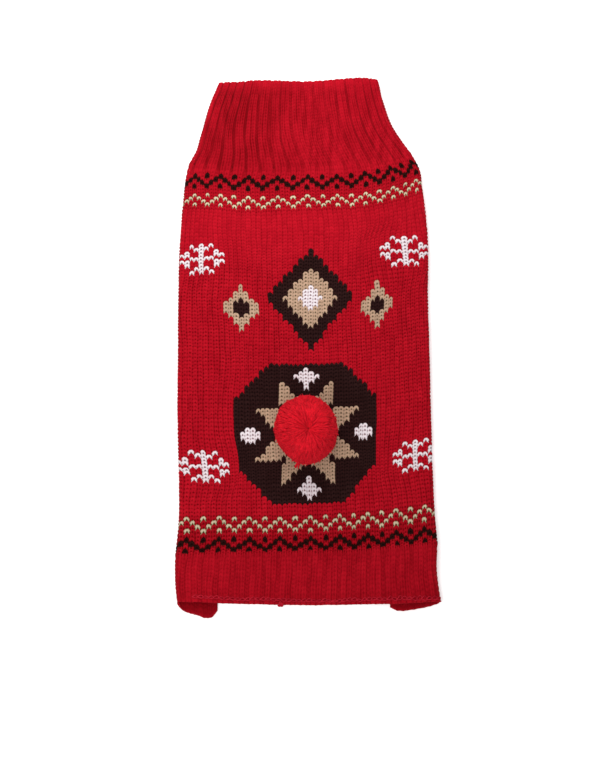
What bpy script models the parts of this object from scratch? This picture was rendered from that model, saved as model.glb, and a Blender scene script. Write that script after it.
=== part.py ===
"""A dog's knitted turtleneck sweater, lying flat with its back panel up.

The back panel is wider than the body: it turns under at both side folds and is sewn there
to a narrower and shorter belly panel. Each panel ends in a ribbed hem, a ribbed collar
closes the neck, two leg holes are cut at the side seams under the body and bound with
ribbed cuffs, and a yarn pompom is sewn on the back.

Every wall is built from the same map: a column counts stitches across the body, a row
counts courses down from the collar seam, and COURSES says where some of the courses lie.
Tables and sizes are in millimetres in the garment's own plane: X to the right, Y from the
hem to the collar, Z up from the surface that the sweater lies on.
"""

from collections import namedtuple
import math

import bmesh
import bpy
import numpy as np

MM = 0.001
OUTLINE_CENTRE = (2.3, 211.6)  # middle of the garment's outline, put at the world's origin

# Walls and seams.
PANEL_WALL = 2.6
COLLAR_WALL = 3.2
SEAM_GAP = 0.3
ROW_PITCH = 2.93  # mean height of one course
SEAM_ROWS = 0.2 / ROW_PITCH  # set-back of each edge from a seam that follows a course, in courses
NECK_SEAM_ROWS = 0.6 / ROW_PITCH  # the collar's, whose thicker wall leans at the shoulders

# Courses, counted down from the collar seam.
COLLAR_TOP_ROW = -27
HEM_ROW = 108
HEM_EDGE_ROW = 120
BELLY_HEM_ROW = 93
BELLY_EDGE_ROW = 103

# Columns, counted from the left fold to the right fold.
FOLD_COLUMNS = (0, 52)
HALF_FOLD = 1.0  # columns that a fold takes up on each side of its outermost line
CENTRE_COLUMN = 26
UNDER_COLUMNS = 8  # columns of the back panel that lie under the body, on each side
SEAM_X = 67.0  # side seams on the underside

FOLD_RADIUS = 2.6  # of the middle of a panel's wall
COLLAR_FOLD_RADIUS = 2.5
ROLL_WIDTH = 12.0  # how far the rounding of a side fold reaches in from it

# Where the hem has no belly panel under it, it sinks to the surface.
SAG_ROWS = (104.0, 112.0)
SAG_X = (44.0, 61.0)
SAG_HEIGHT = 1.45  # middle of the wall where the hem rests on the surface

# The turned-under ends of the hem hang lower than the hem itself.
DROOP_ROWS = (88.0, 120.0)
DROOP = {"left": 11.0, "right": 6.0}
DROOP_REACH = 0.7  # share of the turned-under strip where the droop is at its full depth
CORNER = (0.8, 5.0)  # share of the strip where its corner starts to round, and by how much

LEG_HOLE_CENTRE = (62.0, 285.0)
LEG_HOLE_HALF = (19.0, 26.0)
CUFF_BAND = 11.0
CUFF_WALL = 3.0

POMPOM_CENTRE = (1.5, 131.0)
POMPOM_HALF = (25.0, 27.5, 21.5)
POMPOM_SEAT = 15.0  # radius of its flat underside

Course = namedtuple(
    "Course", "row x_left x_mid x_right crowd lift y_left y_mid_left y_mid y_mid_right y_right"
)
# x: the outline at both folds and the centre column. crowd: how much narrower the outer
# columns are. lift: the upper layer's height, at the middle of its wall. y: the course's
# place at the left fold, a quarter, half and three quarters across, and at the right fold.
COURSES = [
    Course(-27, -71.0, -8.0, 62.5, 0.15, 5.4, 428.0, 430.0, 430.0, 432.0, 430.5),
    Course(-18, -79.3, -8.5, 67.1, 0.15, 6.0, 404.0, 404.0, 404.0, 407.0, 409.0),
    Course(-9, -85.4, -6.5, 74.7, 0.15, 6.3, 380.0, 378.0, 378.0, 381.5, 387.5),
    Course(-4, -88.9, -2.0, 82.0, 0.14, 6.3, 367.0, 363.5, 363.7, 366.8, 375.6),
    Course(0, -94.4, 2.0, 88.7, 0.13, 6.1, 356.0, 352.0, 352.3, 355.2, 366.0),
    Course(4, -96.9, 2.5, 94.9, 0.12, 5.9, 344.4, 340.2, 340.7, 343.8, 354.5),
    Course(10, -98.4, 3.8, 97.3, 0.12, 6.0, 328.5, 323.0, 323.6, 327.0, 338.9),
    Course(27, -101.0, 4.0, 101.4, 0.06, 6.3, 277.5, 274.8, 274.3, 276.5, 286.0),
    Course(40, -101.0, 4.0, 100.3, 0.03, 5.8, 238.5, 236.9, 236.5, 239.0, 247.0),
    Course(54, -100.7, 4.5, 100.6, 0.0, 5.5, 198.0, 196.2, 195.7, 198.5, 206.0),
    Course(69, -100.2, 4.8, 100.6, 0.0, 5.4, 152.5, 151.9, 152.1, 154.8, 160.5),
    Course(84, -98.4, 5.0, 101.0, 0.0, 5.5, 105.5, 106.9, 108.4, 110.8, 116.0),
    Course(100, -97.6, 5.2, 101.9, 0.0, 5.5, 60.3, 61.2, 61.9, 65.0, 71.0),
    Course(108, -99.5, 5.2, 103.5, 0.0, 5.4, 36.0, 37.2, 38.0, 40.5, 45.0),
    Course(114, -99.4, 5.2, 102.6, 0.0, 5.3, 19.0, 18.9, 19.3, 21.3, 24.3),
    Course(120, -97.6, 5.0, 105.2, 0.0, 5.2, 1.2, 0.8, 0.0, 0.6, 0.8),
]
ACROSS = np.array([-1.0, -0.5, 0.0, 0.5, 1.0])  # where the five y values lie

Crease = namedtuple("Crease", "x y angle half_length half_width height")
# Soft ridges (height above 0) and troughs (below 0) of the upper layer.
CREASES = [
    Crease(0, 300, 2, 80, 13, 1.3),  # ridge across the chest
    Crease(-79, 212, 20, 17, 8, -1.0),
    Crease(66, 222, 10, 18, 10, 1.1),
    Crease(71, 178, 95, 26, 8, -1.1),
    Crease(-84, 165, 88, 24, 7, 0.8),
    Crease(-31, 95, 18, 20, 10, 1.3),
    Crease(-2, 80, 38, 24, 9, -1.1),
    Crease(-42, 77, 4, 12, 4, -0.9),
    Crease(60, 88, 160, 20, 10, 0.9),
    Crease(-48, 19, 92, 16, 8, -0.8),
    Crease(-80, 26, 90, 12, 8, 0.9),
    Crease(60, 22, 84, 14, 8, 0.8),
    Crease(-54, 408, 118, 20, 8, -0.8),
    Crease(42, 390, 116, 22, 8, -0.9),
    Crease(5, 395, 100, 24, 12, 1.0),
]

COLLECTION = "dog_sweater"
CUTTERS = "cutters"


# ---- The map from columns and rows to places ----


def smooth_through(knots, values, at):
    """Cubic curve through the values at the knots, read at each place in at."""
    slopes = np.gradient(values, knots)
    i = np.clip(np.searchsorted(knots, at) - 1, 0, len(knots) - 2)
    step = knots[i + 1] - knots[i]
    t = (at - knots[i]) / step
    start = (1 + 2 * t) * (1 - t) ** 2 * values[i] + t * (1 - t) ** 2 * step * slopes[i]
    end = t**2 * (3 - 2 * t) * values[i + 1] - t**2 * (1 - t) * step * slopes[i + 1]
    return start + end


def along(field, row):
    """One column of COURSES, read at each row."""
    knots = np.array([c.row for c in COURSES], float)
    values = np.array([getattr(c, field) for c in COURSES], float)
    return smooth_through(knots, values, row)


def smooth_step(start, end, at):
    t = np.clip((at - start) / (end - start), 0.0, 1.0)
    return t * t * (3 - 2 * t)


def course_height(column, row):
    """Y of a course where the upper layer crosses a column."""
    values = np.array(
        [along(f, row) for f in ("y_left", "y_mid_left", "y_mid", "y_mid_right", "y_right")]
    )
    slopes = np.gradient(values, ACROSS, axis=0)
    across = np.clip((column - CENTRE_COLUMN) / CENTRE_COLUMN, -1.0, 1.0)
    i = np.clip(np.searchsorted(ACROSS, across) - 1, 0, len(ACROSS) - 2)
    step = ACROSS[1] - ACROSS[0]
    t = (across - ACROSS[i]) / step

    def pick(table, index):
        return np.take_along_axis(table, index[None], axis=0)[0]

    start = (1 + 2 * t) * (1 - t) ** 2 * pick(values, i)
    start += t * (1 - t) ** 2 * step * pick(slopes, i)
    end = t**2 * (3 - 2 * t) * pick(values, i + 1)
    end -= t**2 * (1 - t) * step * pick(slopes, i + 1)
    return start + end


def under_height(x, row):
    """Y of a course on the lower layer, a straight line between the two folds."""
    left, right = along("x_left", row), along("x_right", row)
    share = (x - left) / (right - left)
    return along("y_left", row) * (1 - share) + along("y_right", row) * share


def creases_at(x, y):
    """Height that the soft creases add at a place."""
    total = np.zeros_like(x)
    for crease in CREASES:
        turn = math.radians(crease.angle)
        dx, dy = x - crease.x, y - crease.y
        lengthwise = dx * math.cos(turn) + dy * math.sin(turn)
        crosswise = -dx * math.sin(turn) + dy * math.cos(turn)
        reach = (lengthwise / crease.half_length) ** 2 + (crosswise / crease.half_width) ** 2
        total = total + crease.height * np.exp(-reach)
    return total


def upper_layer(column, row, wall, radius):
    """Middle of the wall where the garment's upper layer crosses a column and a row."""
    inset = wall / 2 + radius
    left, right = along("x_left", row) + inset, along("x_right", row) - inset
    across = (column - CENTRE_COLUMN) / (CENTRE_COLUMN - HALF_FOLD)
    eased = across * (1 + along("crowd", row) * (1 - across**2))
    middle = along("x_mid", row)
    x = middle + (right - left) / 2 * eased + ((left + right) / 2 - middle) * eased**2
    y = course_height(column, row)

    to_fold = np.minimum(x - left, right - x)
    rounding = np.exp(-((to_fold / ROLL_WIDTH) ** 2))
    lift = along("lift", row)
    z = lift + (wall / 2 + 2 * radius - lift) * rounding
    z = z + creases_at(x, y) * (1 - rounding)
    sag = smooth_step(*SAG_ROWS, row) * smooth_step(SAG_X[1], SAG_X[0], np.abs(x))
    return x, y, z + (SAG_HEIGHT - z) * sag


def droop_at(column, row):
    """How far the turned-under end of the hem hangs below the hem, and its rounded corner."""
    left = column < CENTRE_COLUMN
    outside = np.where(left, FOLD_COLUMNS[0] - column, column - FOLD_COLUMNS[1])
    share = np.clip(outside / (UNDER_COLUMNS + HALF_FOLD), 0.0, 1.0)
    depth = np.where(left, DROOP["left"], DROOP["right"])
    droop = depth * (1 - (1 - np.clip(share / DROOP_REACH, 0.0, 1.0)) ** 2)
    corner = np.clip((share - CORNER[0]) / (1 - CORNER[0]), 0.0, 1.0) ** 2 * CORNER[1]
    return (droop - corner) * smooth_step(*DROOP_ROWS, row)


def wrapped(column, row, wall, radius, under_x):
    """Middle of a wall that turns under at the side folds.

    under_x(side, share) gives the lower layer's x: side is -1 or 1, share runs from the
    fold to the wall's far end.
    """
    column, row = np.broadcast_arrays(np.asarray(column, float), np.asarray(row, float))
    first, last = FOLD_COLUMNS
    x, y, z = upper_layer(np.clip(column, first + HALF_FOLD, last - HALF_FOLD), row, wall, radius)
    for side, fold, outline in ((-1, first, "x_left"), (1, last, "x_right")):
        outside = (column - fold) * side  # columns beyond the fold's outermost line
        edge = along(outline, row) - side * (wall / 2 + radius)
        turn = np.clip((outside + HALF_FOLD) / (2 * HALF_FOLD), 0.0, 1.0) * math.pi
        in_fold = outside > -HALF_FOLD
        x = np.where(in_fold, edge + side * radius * np.sin(turn), x)
        z = np.where(in_fold, wall / 2 + radius + radius * np.cos(turn), z)
        below = outside > HALF_FOLD
        x = np.where(below, under_x(side, outside - HALF_FOLD, edge), x)
        lower = under_height(x, row)
        blend = np.clip((outside + HALF_FOLD) / (2 * HALF_FOLD), 0.0, 1.0)
        y = np.where(in_fold, y + (lower - y) * blend, y)
    return x, y, z


def back_wall(column, row):
    """Middle of the back panel's and the back hem's wall."""

    def under_x(side, outside, edge):
        share = np.clip(outside / UNDER_COLUMNS, 0.0, 1.0)
        return edge + (side * SEAM_X - edge) * share

    x, y, z = wrapped(column, row, PANEL_WALL, FOLD_RADIUS, under_x)
    return x, y - droop_at(np.asarray(column, float), np.asarray(row, float)), z


def collar_wall(column, row):
    """Middle of the collar's wall, a closed loop of columns."""
    loop = 2 * (FOLD_COLUMNS[1] - FOLD_COLUMNS[0])
    column = np.where(column > loop - HALF_FOLD, column - loop, column)

    def under_x(side, outside, edge):
        row_wide = np.broadcast_to(row, np.shape(column))
        opposite = "x_left" if side > 0 else "x_right"
        far = along(opposite, row_wide) + side * (COLLAR_WALL / 2 + COLLAR_FOLD_RADIUS)
        flat_columns = FOLD_COLUMNS[1] - 2 * HALF_FOLD
        return edge + (far - edge) * np.clip(outside / flat_columns, 0.0, 1.0)

    return wrapped(column, row, COLLAR_WALL, COLLAR_FOLD_RADIUS, under_x)


def belly_wall(x, row):
    """Middle of the belly panel's wall, flat on the surface."""
    x, row = np.broadcast_arrays(np.asarray(x, float), np.asarray(row, float))
    return x, under_height(x, row), np.full(x.shape, PANEL_WALL / 2)


# ---- Meshes ----


def to_world(points):
    """Garment millimetres to world metres."""
    shift = np.array([OUTLINE_CENTRE[0], OUTLINE_CENTRE[1], 0.0])
    return (np.asarray(points, float) - shift) * MM


def material(name, colour, roughness):
    made = bpy.data.materials.new(name)
    made.use_nodes = True
    shader = made.node_tree.nodes["Principled BSDF"]
    shader.inputs["Base Color"].default_value = (*colour, 1.0)
    shader.inputs["Roughness"].default_value = roughness
    shader.inputs["Metallic"].default_value = 0.0
    return made


def add_object(name, mesh, finish, collection):
    made = bpy.data.objects.new(name, mesh)
    mesh.materials.append(finish)
    collection.objects.link(made)
    return made


def sheet_mesh(name, wall_at, across, rows, closed=False):
    """Open surface through wall_at(across, row), facing the garment's outside."""
    grid_across, grid_rows = np.meshgrid(np.asarray(across, float), np.asarray(rows, float))
    points = to_world(np.stack(wall_at(grid_across, grid_rows), axis=-1))
    shape = bmesh.new()
    verts = [[shape.verts.new(p) for p in line] for line in points]
    count = len(across)
    for upper, lower in zip(verts, verts[1:]):
        for i in range(count if closed else count - 1):
            j = (i + 1) % count
            shape.faces.new((upper[i], lower[i], lower[j], upper[j]))
    mesh = bpy.data.meshes.new(name)
    shape.to_mesh(mesh)
    shape.free()
    mesh.shade_smooth()
    return mesh


def thicken(sheet, wall):
    """Gives an open sheet its wall, half on each side."""
    solid = sheet.modifiers.new("wall", "SOLIDIFY")
    solid.thickness = wall * MM
    solid.offset = 0.0
    solid.use_even_offset = True


def ellipse_cutter(name, centre, half, depth, collection):
    """Elliptic cylinder from 1 mm under the surface up to depth."""
    below = 1.0
    bpy.ops.mesh.primitive_cylinder_add(
        vertices=48, radius=1.0, depth=(depth + below) * MM, location=(0.0, 0.0, 0.0)
    )
    cutter = bpy.context.object
    cutter.name = name
    for vertex in cutter.data.vertices:
        vertex.co.x *= half[0] * MM
        vertex.co.y *= half[1] * MM
    cutter.location = to_world((centre[0], centre[1], (depth - below) / 2))
    cutter.hide_render = True
    cutter.display_type = "WIRE"
    for owner in list(cutter.users_collection):
        owner.objects.unlink(cutter)
    collection.objects.link(cutter)
    return cutter


def cut(body, cutter):
    hole = body.modifiers.new("cut_" + cutter.name, "BOOLEAN")
    hole.operation = "DIFFERENCE"
    hole.object = cutter


def steps(start, end, count):
    return list(np.linspace(start, end, count + 1))


def back_columns():
    """Columns across the back panel and its two turned-under strips."""
    first, last = FOLD_COLUMNS
    under_left = steps(first - HALF_FOLD - UNDER_COLUMNS, first - HALF_FOLD, 6)
    fold_left = steps(first - HALF_FOLD, first + HALF_FOLD, 6)
    near_left = steps(first + HALF_FOLD, first + 6, 3)
    top = steps(first + 6, last - 6, 14)
    near_right = steps(last - 6, last - HALF_FOLD, 3)
    fold_right = steps(last - HALF_FOLD, last + HALF_FOLD, 6)
    under_right = steps(last + HALF_FOLD, last + HALF_FOLD + UNDER_COLUMNS, 6)
    parts = (under_left, fold_left, near_left, top, near_right, fold_right, under_right)
    return [parts[0][0]] + [column for part in parts for column in part[1:]]


# ---- Pieces ----


def make_back_panel(finish, parts, cutters):
    rows = steps(SEAM_ROWS, HEM_ROW - SEAM_ROWS, 18)
    mesh = sheet_mesh("back_panel", back_wall, back_columns(), rows)
    panel = add_object("back_panel", mesh, finish, parts)
    thicken(panel, PANEL_WALL)
    for cutter in cutters:
        cut(panel, cutter)


def make_back_hem(finish, parts):
    rows = steps(HEM_ROW + SEAM_ROWS, HEM_EDGE_ROW, 5)
    mesh = sheet_mesh("back_hem_rib", back_wall, back_columns(), rows)
    thicken(add_object("back_hem_rib", mesh, finish, parts), PANEL_WALL)


def make_belly_panel(finish, parts, cutters):
    side = SEAM_X - SEAM_GAP
    rows = steps(SEAM_ROWS, BELLY_HEM_ROW - SEAM_ROWS, 10)
    mesh = sheet_mesh("belly_panel", belly_wall, steps(side, -side, 6), rows)
    panel = add_object("belly_panel", mesh, finish, parts)
    thicken(panel, PANEL_WALL)
    for cutter in cutters:
        cut(panel, cutter)


def make_belly_hem(finish, parts):
    side = SEAM_X - SEAM_GAP
    rows = steps(BELLY_HEM_ROW + SEAM_ROWS, BELLY_EDGE_ROW, 3)
    mesh = sheet_mesh("belly_hem_rib", belly_wall, steps(side, -side, 6), rows)
    thicken(add_object("belly_hem_rib", mesh, finish, parts), PANEL_WALL)


def make_collar(finish, parts):
    first, last = FOLD_COLUMNS
    top = steps(first + HALF_FOLD, last - HALF_FOLD, 18)
    fold_right = steps(last - HALF_FOLD, last + HALF_FOLD, 6)
    under = steps(last + HALF_FOLD, 2 * last - HALF_FOLD, 10)
    fold_left = steps(2 * last - HALF_FOLD, 2 * last + HALF_FOLD, 6)
    columns = top + fold_right[1:] + under[1:] + fold_left[1:-1]
    rows = steps(COLLAR_TOP_ROW, -NECK_SEAM_ROWS, 9)
    mesh = sheet_mesh("collar", collar_wall, columns, rows, closed=True)
    thicken(add_object("collar", mesh, finish, parts), COLLAR_WALL)


def make_cuff(name, side, finish, parts):
    """Flat ribbed band round a leg hole: an oval ring with rounded edges."""
    rounding = CUFF_WALL / 3
    outer = CUFF_BAND - SEAM_GAP
    profile = [
        (0.0, rounding),
        (rounding, 0.0),
        (outer - rounding, 0.0),
        (outer, rounding),
        (outer, CUFF_WALL - rounding),
        (outer - rounding, CUFF_WALL),
        (rounding, CUFF_WALL),
        (0.0, CUFF_WALL - rounding),
    ]
    around = 44
    shape = bmesh.new()
    rings = []
    for k in range(around):
        angle = 2 * math.pi * k / around
        ring = []
        for offset, height in profile:
            x = side * LEG_HOLE_CENTRE[0] + (LEG_HOLE_HALF[0] + offset) * math.cos(angle)
            y = LEG_HOLE_CENTRE[1] + (LEG_HOLE_HALF[1] + offset) * math.sin(angle)
            ring.append(shape.verts.new(to_world((x, y, height))))
        rings.append(ring)
    for here, after in zip(rings, rings[1:] + rings[:1]):
        for i in range(len(profile)):
            j = (i + 1) % len(profile)
            shape.faces.new((here[i], here[j], after[j], after[i]))
    bmesh.ops.recalc_face_normals(shape, faces=shape.faces)
    mesh = bpy.data.meshes.new(name)
    shape.to_mesh(mesh)
    shape.free()
    add_object(name, mesh, finish, parts)


def back_top_near(centre, radius):
    """Highest point of the back panel's upper face within radius of a place."""
    columns, rows = np.meshgrid(np.linspace(2, 50, 97), np.linspace(2, 106, 209))
    x, y, z = back_wall(columns, rows)
    near = (x - centre[0]) ** 2 + (y - centre[1]) ** 2 < radius**2
    return float(z[near].max()) + PANEL_WALL / 2


def make_pompom(finish, parts):
    """Round yarn ball, flattened where it is sewn down."""
    seat = back_top_near(POMPOM_CENTRE, POMPOM_HALF[0]) + SEAM_GAP
    shape = bmesh.new()
    bmesh.ops.create_uvsphere(shape, u_segments=28, v_segments=18, radius=1.0)
    # The seat cuts the ball where it is as wide as POMPOM_SEAT.
    cut_height = math.sqrt(1 - (POMPOM_SEAT / POMPOM_HALF[0]) ** 2) * POMPOM_HALF[2]
    for vertex in shape.verts:
        x, y, z = vertex.co.x, vertex.co.y, vertex.co.z
        height = max(z * POMPOM_HALF[2], -cut_height)
        place = (
            POMPOM_CENTRE[0] + x * POMPOM_HALF[0],
            POMPOM_CENTRE[1] + y * POMPOM_HALF[1],
            seat + cut_height + height,
        )
        vertex.co = to_world(place)
    mesh = bpy.data.meshes.new("pompom")
    shape.to_mesh(mesh)
    shape.free()
    mesh.shade_smooth()
    add_object("pompom", mesh, finish, parts)


def leg_hole_cutters(collection):
    half = (LEG_HOLE_HALF[0] + CUFF_BAND, LEG_HOLE_HALF[1] + CUFF_BAND)
    made = {}
    for name, side in (("left", -1), ("right", 1)):
        centre = (side * LEG_HOLE_CENTRE[0], LEG_HOLE_CENTRE[1])
        top = PANEL_WALL + 0.4
        made[name] = ellipse_cutter("leg_hole_" + name, centre, half, top, collection)
    return list(made.values())


def clear_scene():
    for made in list(bpy.data.objects):
        bpy.data.objects.remove(made, do_unlink=True)


def new_collection(name):
    made = bpy.data.collections.new(name)
    bpy.context.scene.collection.children.link(made)
    return made


def main():
    clear_scene()
    parts = new_collection(COLLECTION)
    cutters = leg_hole_cutters(new_collection(CUTTERS))
    red = material("red_knit", (0.40, 0.008, 0.016), 0.9)
    rib = material("red_rib", (0.38, 0.007, 0.013), 0.9)
    yarn = material("pompom_yarn", (0.55, 0.012, 0.02), 0.95)
    make_collar(rib, parts)
    make_back_panel(red, parts, cutters)
    make_back_hem(rib, parts)
    make_belly_panel(red, parts, cutters)
    make_belly_hem(rib, parts)
    make_cuff("leg_cuff_left", -1, rib, parts)
    make_cuff("leg_cuff_right", 1, rib, parts)
    make_pompom(yarn, parts)


main()
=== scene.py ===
"""Looks of a dog's knitted turtleneck sweater, lying flat with its back panel up.

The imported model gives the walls. This script covers each with real stitches: a plain
stitch is an arrowhead of two legs, a purl stitch is a low bump, and both lie on the map of
columns and courses that the walls were built from. Tables and sizes are in millimetres in
the garment's own plane, X to the right, Y from the hem to the collar, Z up from the floor,
and to_world() takes them to the frame's metres.
"""

from collections import namedtuple
import math

import bpy
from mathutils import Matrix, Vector
from mathutils.kdtree import KDTree
import numpy as np


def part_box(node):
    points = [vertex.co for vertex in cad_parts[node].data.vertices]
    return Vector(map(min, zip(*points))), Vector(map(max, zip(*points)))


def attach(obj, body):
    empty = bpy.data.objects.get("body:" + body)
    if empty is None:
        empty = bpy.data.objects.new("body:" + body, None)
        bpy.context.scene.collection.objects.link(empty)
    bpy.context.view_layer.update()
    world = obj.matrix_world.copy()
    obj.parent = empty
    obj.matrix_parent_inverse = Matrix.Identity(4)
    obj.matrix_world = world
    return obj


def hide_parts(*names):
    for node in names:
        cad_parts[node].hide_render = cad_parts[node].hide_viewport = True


MM = 0.001
OUTLINE_CENTRE = (2.3, 211.6)  # the garment's place that lies at the world's origin

# ---- The map of the walls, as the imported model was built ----

PANEL_WALL = 2.6
COLLAR_WALL = 3.2
ROW_PITCH = 2.93
COLUMN_PITCH = 3.9

COLLAR_TOP_ROW = -27
HEM_ROW = 108
HEM_EDGE_ROW = 120
BELLY_HEM_ROW = 93
BELLY_EDGE_ROW = 103

FOLD_COLUMNS = (0, 52)
HALF_FOLD = 1.0  # columns from a fold's middle to its ends
CENTRE_COLUMN = 26
UNDER_COLUMNS = 8  # from there to the side seam
FIRST_COLUMN = -9  # the back panel's own edges, at the side seams under the body
LAST_COLUMN = 61
BELLY_COLUMNS = 34
COLLAR_COLUMNS = 105
SEAM_X = 67.0
SEAM_GAP = 0.3

FOLD_RADIUS = 2.6
COLLAR_FOLD_RADIUS = 2.5
ROLL_WIDTH = 12.0  # how far from a fold its roll lifts or lowers the upper layer
# Past the end of the belly the hem sinks to the surface.
SAG_ROWS = (104.0, 112.0)
SAG_X = (44.0, 61.0)
SAG_HEIGHT = 1.45
DROOP_ROWS = (88.0, 120.0)
# How far below the hem its turned-under ends hang, from the fold to the side seam.
DROOP_SHARES = [0.0, 0.05, 0.12, 0.22, 0.36, 0.50, 0.62, 0.72, 0.82, 0.91, 1.0]
DROOPS = {
    "left": [0.0, 3.4, 5.9, 7.4, 8.8, 10.0, 11.2, 12.0, 12.1, 11.0, 7.4],
    "right": [0.0, 1.0, 1.8, 2.9, 4.2, 5.3, 6.1, 6.5, 6.6, 6.2, 4.4],
}

LEG_HOLE_CENTRE = (62.0, 285.0)
LEG_HOLE_HALF = (19.0, 26.0)
CUFF_BAND = 11.0
CUFF_WALL = 3.0
CUFF_COLUMNS = 54
CUFF_ROWS = 4

Course = namedtuple(
    "Course", "row x_left x_mid x_right crowd lift y_left y_mid_left y_mid y_mid_right y_right"
)
COURSES = [
    Course(-27, -71.0, -8.0, 62.5, 0.15, 5.4, 428.0, 430.0, 430.0, 432.0, 430.5),
    Course(-18, -79.3, -8.5, 67.1, 0.15, 6.0, 404.0, 404.0, 404.0, 407.0, 409.0),
    Course(-9, -85.4, -6.5, 74.7, 0.15, 6.3, 380.0, 378.0, 378.0, 381.5, 387.5),
    Course(-4, -88.9, -2.0, 82.0, 0.14, 6.3, 367.0, 363.5, 363.7, 366.8, 375.6),
    Course(0, -94.4, 2.0, 88.7, 0.13, 6.1, 356.0, 352.0, 352.3, 355.2, 366.0),
    Course(4, -96.9, 2.5, 94.9, 0.12, 5.9, 344.4, 340.2, 340.7, 343.8, 354.5),
    Course(10, -98.4, 3.8, 97.3, 0.12, 6.0, 328.5, 323.0, 323.6, 327.0, 338.9),
    Course(27, -101.0, 4.0, 101.4, 0.06, 6.3, 277.5, 274.8, 274.3, 276.5, 286.0),
    Course(40, -101.0, 4.0, 100.3, 0.03, 5.8, 238.5, 236.9, 236.5, 239.0, 247.0),
    Course(54, -100.7, 4.5, 100.6, 0.0, 5.5, 198.0, 196.2, 195.7, 198.5, 206.0),
    Course(69, -100.2, 4.8, 100.6, 0.0, 5.4, 152.5, 151.9, 152.1, 154.8, 160.5),
    Course(84, -98.4, 5.0, 101.0, 0.0, 5.5, 105.5, 106.9, 108.4, 110.8, 116.0),
    Course(100, -97.6, 5.2, 101.9, 0.0, 5.5, 60.3, 61.2, 61.9, 65.0, 71.0),
    Course(108, -99.5, 5.2, 103.5, 0.0, 5.4, 36.0, 37.2, 38.0, 40.5, 45.0),
    Course(114, -99.4, 5.2, 102.6, 0.0, 5.3, 19.0, 18.9, 19.3, 21.3, 24.3),
    Course(120, -97.6, 5.0, 105.2, 0.0, 5.2, 1.2, 0.8, 0.0, 0.6, 0.8),
]
ACROSS = (-1.0, -0.5, 0.0, 0.5, 1.0)  # where its five y values lie, from fold to fold

Crease = namedtuple("Crease", "x y angle half_length half_width height")
CREASES = [
    Crease(0, 300, 2, 80, 13, 1.3),
    Crease(-79, 212, 20, 17, 8, -1.0),
    Crease(66, 222, 10, 18, 10, 1.1),
    Crease(71, 178, 95, 26, 8, -1.1),
    Crease(-84, 165, 88, 24, 7, 0.8),
    Crease(-31, 95, 18, 20, 10, 1.3),
    Crease(-2, 80, 38, 24, 9, -1.1),
    Crease(-42, 77, 4, 12, 4, -0.9),
    Crease(60, 88, 160, 20, 10, 0.9),
    Crease(-48, 19, 92, 16, 8, -0.8),
    Crease(-80, 26, 90, 12, 8, 0.9),
    Crease(60, 22, 84, 14, 8, 0.8),
    Crease(-54, 408, 118, 20, 8, -0.8),
    Crease(42, 390, 116, 22, 8, -0.9),
    Crease(5, 395, 100, 24, 12, 1.0),
]

# ---- The stitches ----

CHEVRON = 0.62  # courses by which the tip of a plain stitch stands above its ends
STITCH_RELIEF = 0.9  # depth of the gap between two columns of plain stitches
TIP_ROUNDNESS = 1.7  # 1 would be a pointed tip
EDGE_VALLEY = (0.55, 0.45)  # share of that depth there, all along and at the hole
TIP_VALLEY = (0.30, 0.45)  # the same between the two legs of a stitch
EDGE_HOLE_ROW = 0.62  # where the holes are in a course
TIP_HOLE_ROW = 0.93
HOLE_WIDTH = 0.25
COURSE_GROOVE = 0.70  # share of the depth between two stitches of one column
PURL_RELIEF = 0.55
RIB_GROOVE_LOSS = 0.45
SEAM_GROOVE_LOSS = 1.0
COLLAR_WANDER = 0.26  # columns
# Courses by which the collar's open edge lies below its even place, for some columns.
TOP_EDGE = [
    (0, 0.28), (5, 0.22), (9, 0.32), (13, 0.08), (17, -0.02), (22, 0.05), (26, 0.25), (30, 0.55),
    (35, 0.60), (39, 0.28), (43, -0.10), (48, -0.24), (52, 0.15), (60, 0.2), (105, 0.28),
]
BODY_WANDER = (0.14, 0.20)  # columns, at the bands and how much more between them
CALM_ABOVE = (32, 40)  # the rows where that changes
CALM_BELOW = (96, 88)
STITCH_WANDER = 0.12  # columns
# How far courses wander, in courses: its size, its lumps and its seed.
ROW_WANDERS = [(0.20, (1, 3), 3), (0.14, (7, 4), 4), (0.08, (0.5, 2), 11)]
GROOVE_HALF = 0.44  # columns
INNER_GROOVE = 0.5  # share of the ribs' depth that shows on their inner side
INNER_PAINTED_SHADE = 0.55  # painted shade on that side: how much deeper it looks, as less light gets there
# INNER_CONTRAST: share of the stitches' relief in that side's painted shade
INNER_CONTRAST = 0.5
RIB_LIGHT = 0.85  # how much less deep a stitch of rib looks than a plain one, which lightens its painted shade
# RIB_SHADE: how much painted shade the furrows of rib get
RIB_SHADE = 1.05
FLAP_SHADOW = 0.70  # how much deeper the hem's turned-under ends look below its edge
FLAP_SHADOW_ROWS = (122.0, 117.0)  # it sets in over these, upwards
CHAIN_ROW = 118.9
HEM_DRAWN_IN_AND_SHADE = 0.22  # how deep the hem looks along its bound-off edge, where it is drawn in: mostly painted shade
DRAWN_IN_HALF = 1.3  # courses
DRAWN_IN_RELIEF = 0.3  # share of that which is real
HEM_HANG = 0.36  # courses by which its middle hangs lower than its ends
RIB_REPEAT = 3  # two plain columns and one purl column
ACROSS_STITCH = 4  # mesh steps across a stitch
DOWN_STITCH = 3  # mesh steps down a stitch
SEAM_SET_BACK = 0.004  # courses between an edge and its seam
RIM_STEPS = 4  # faces round a rounded edge
RIM_SCALLOP = 0.20  # how much less such an edge bulges at a purl column

# Rows over which rib sets in, its depth, and the width of a purl column in columns.
Rib = namedtuple("Rib", "start full depth purl_width")
COLLAR_RIB = Rib(3.4, -0.6, 1.00, 0.5)
HEM_RIB = Rib(108.0, 110.0, 0.35, 0.8)
BELLY_RIB = Rib(93.0, 95.0, 0.35, 0.8)
CUFF_RIB = Rib(-1.0, 0.0, 0.6, 0.6)
# A stretch of the collar is pulled wide, so that its purl columns open.
OPEN_RIB_COLUMN = 31.0
OPEN_RIB_HALF = 5.0
OPEN_RIB_SHARE = 0.75

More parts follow.
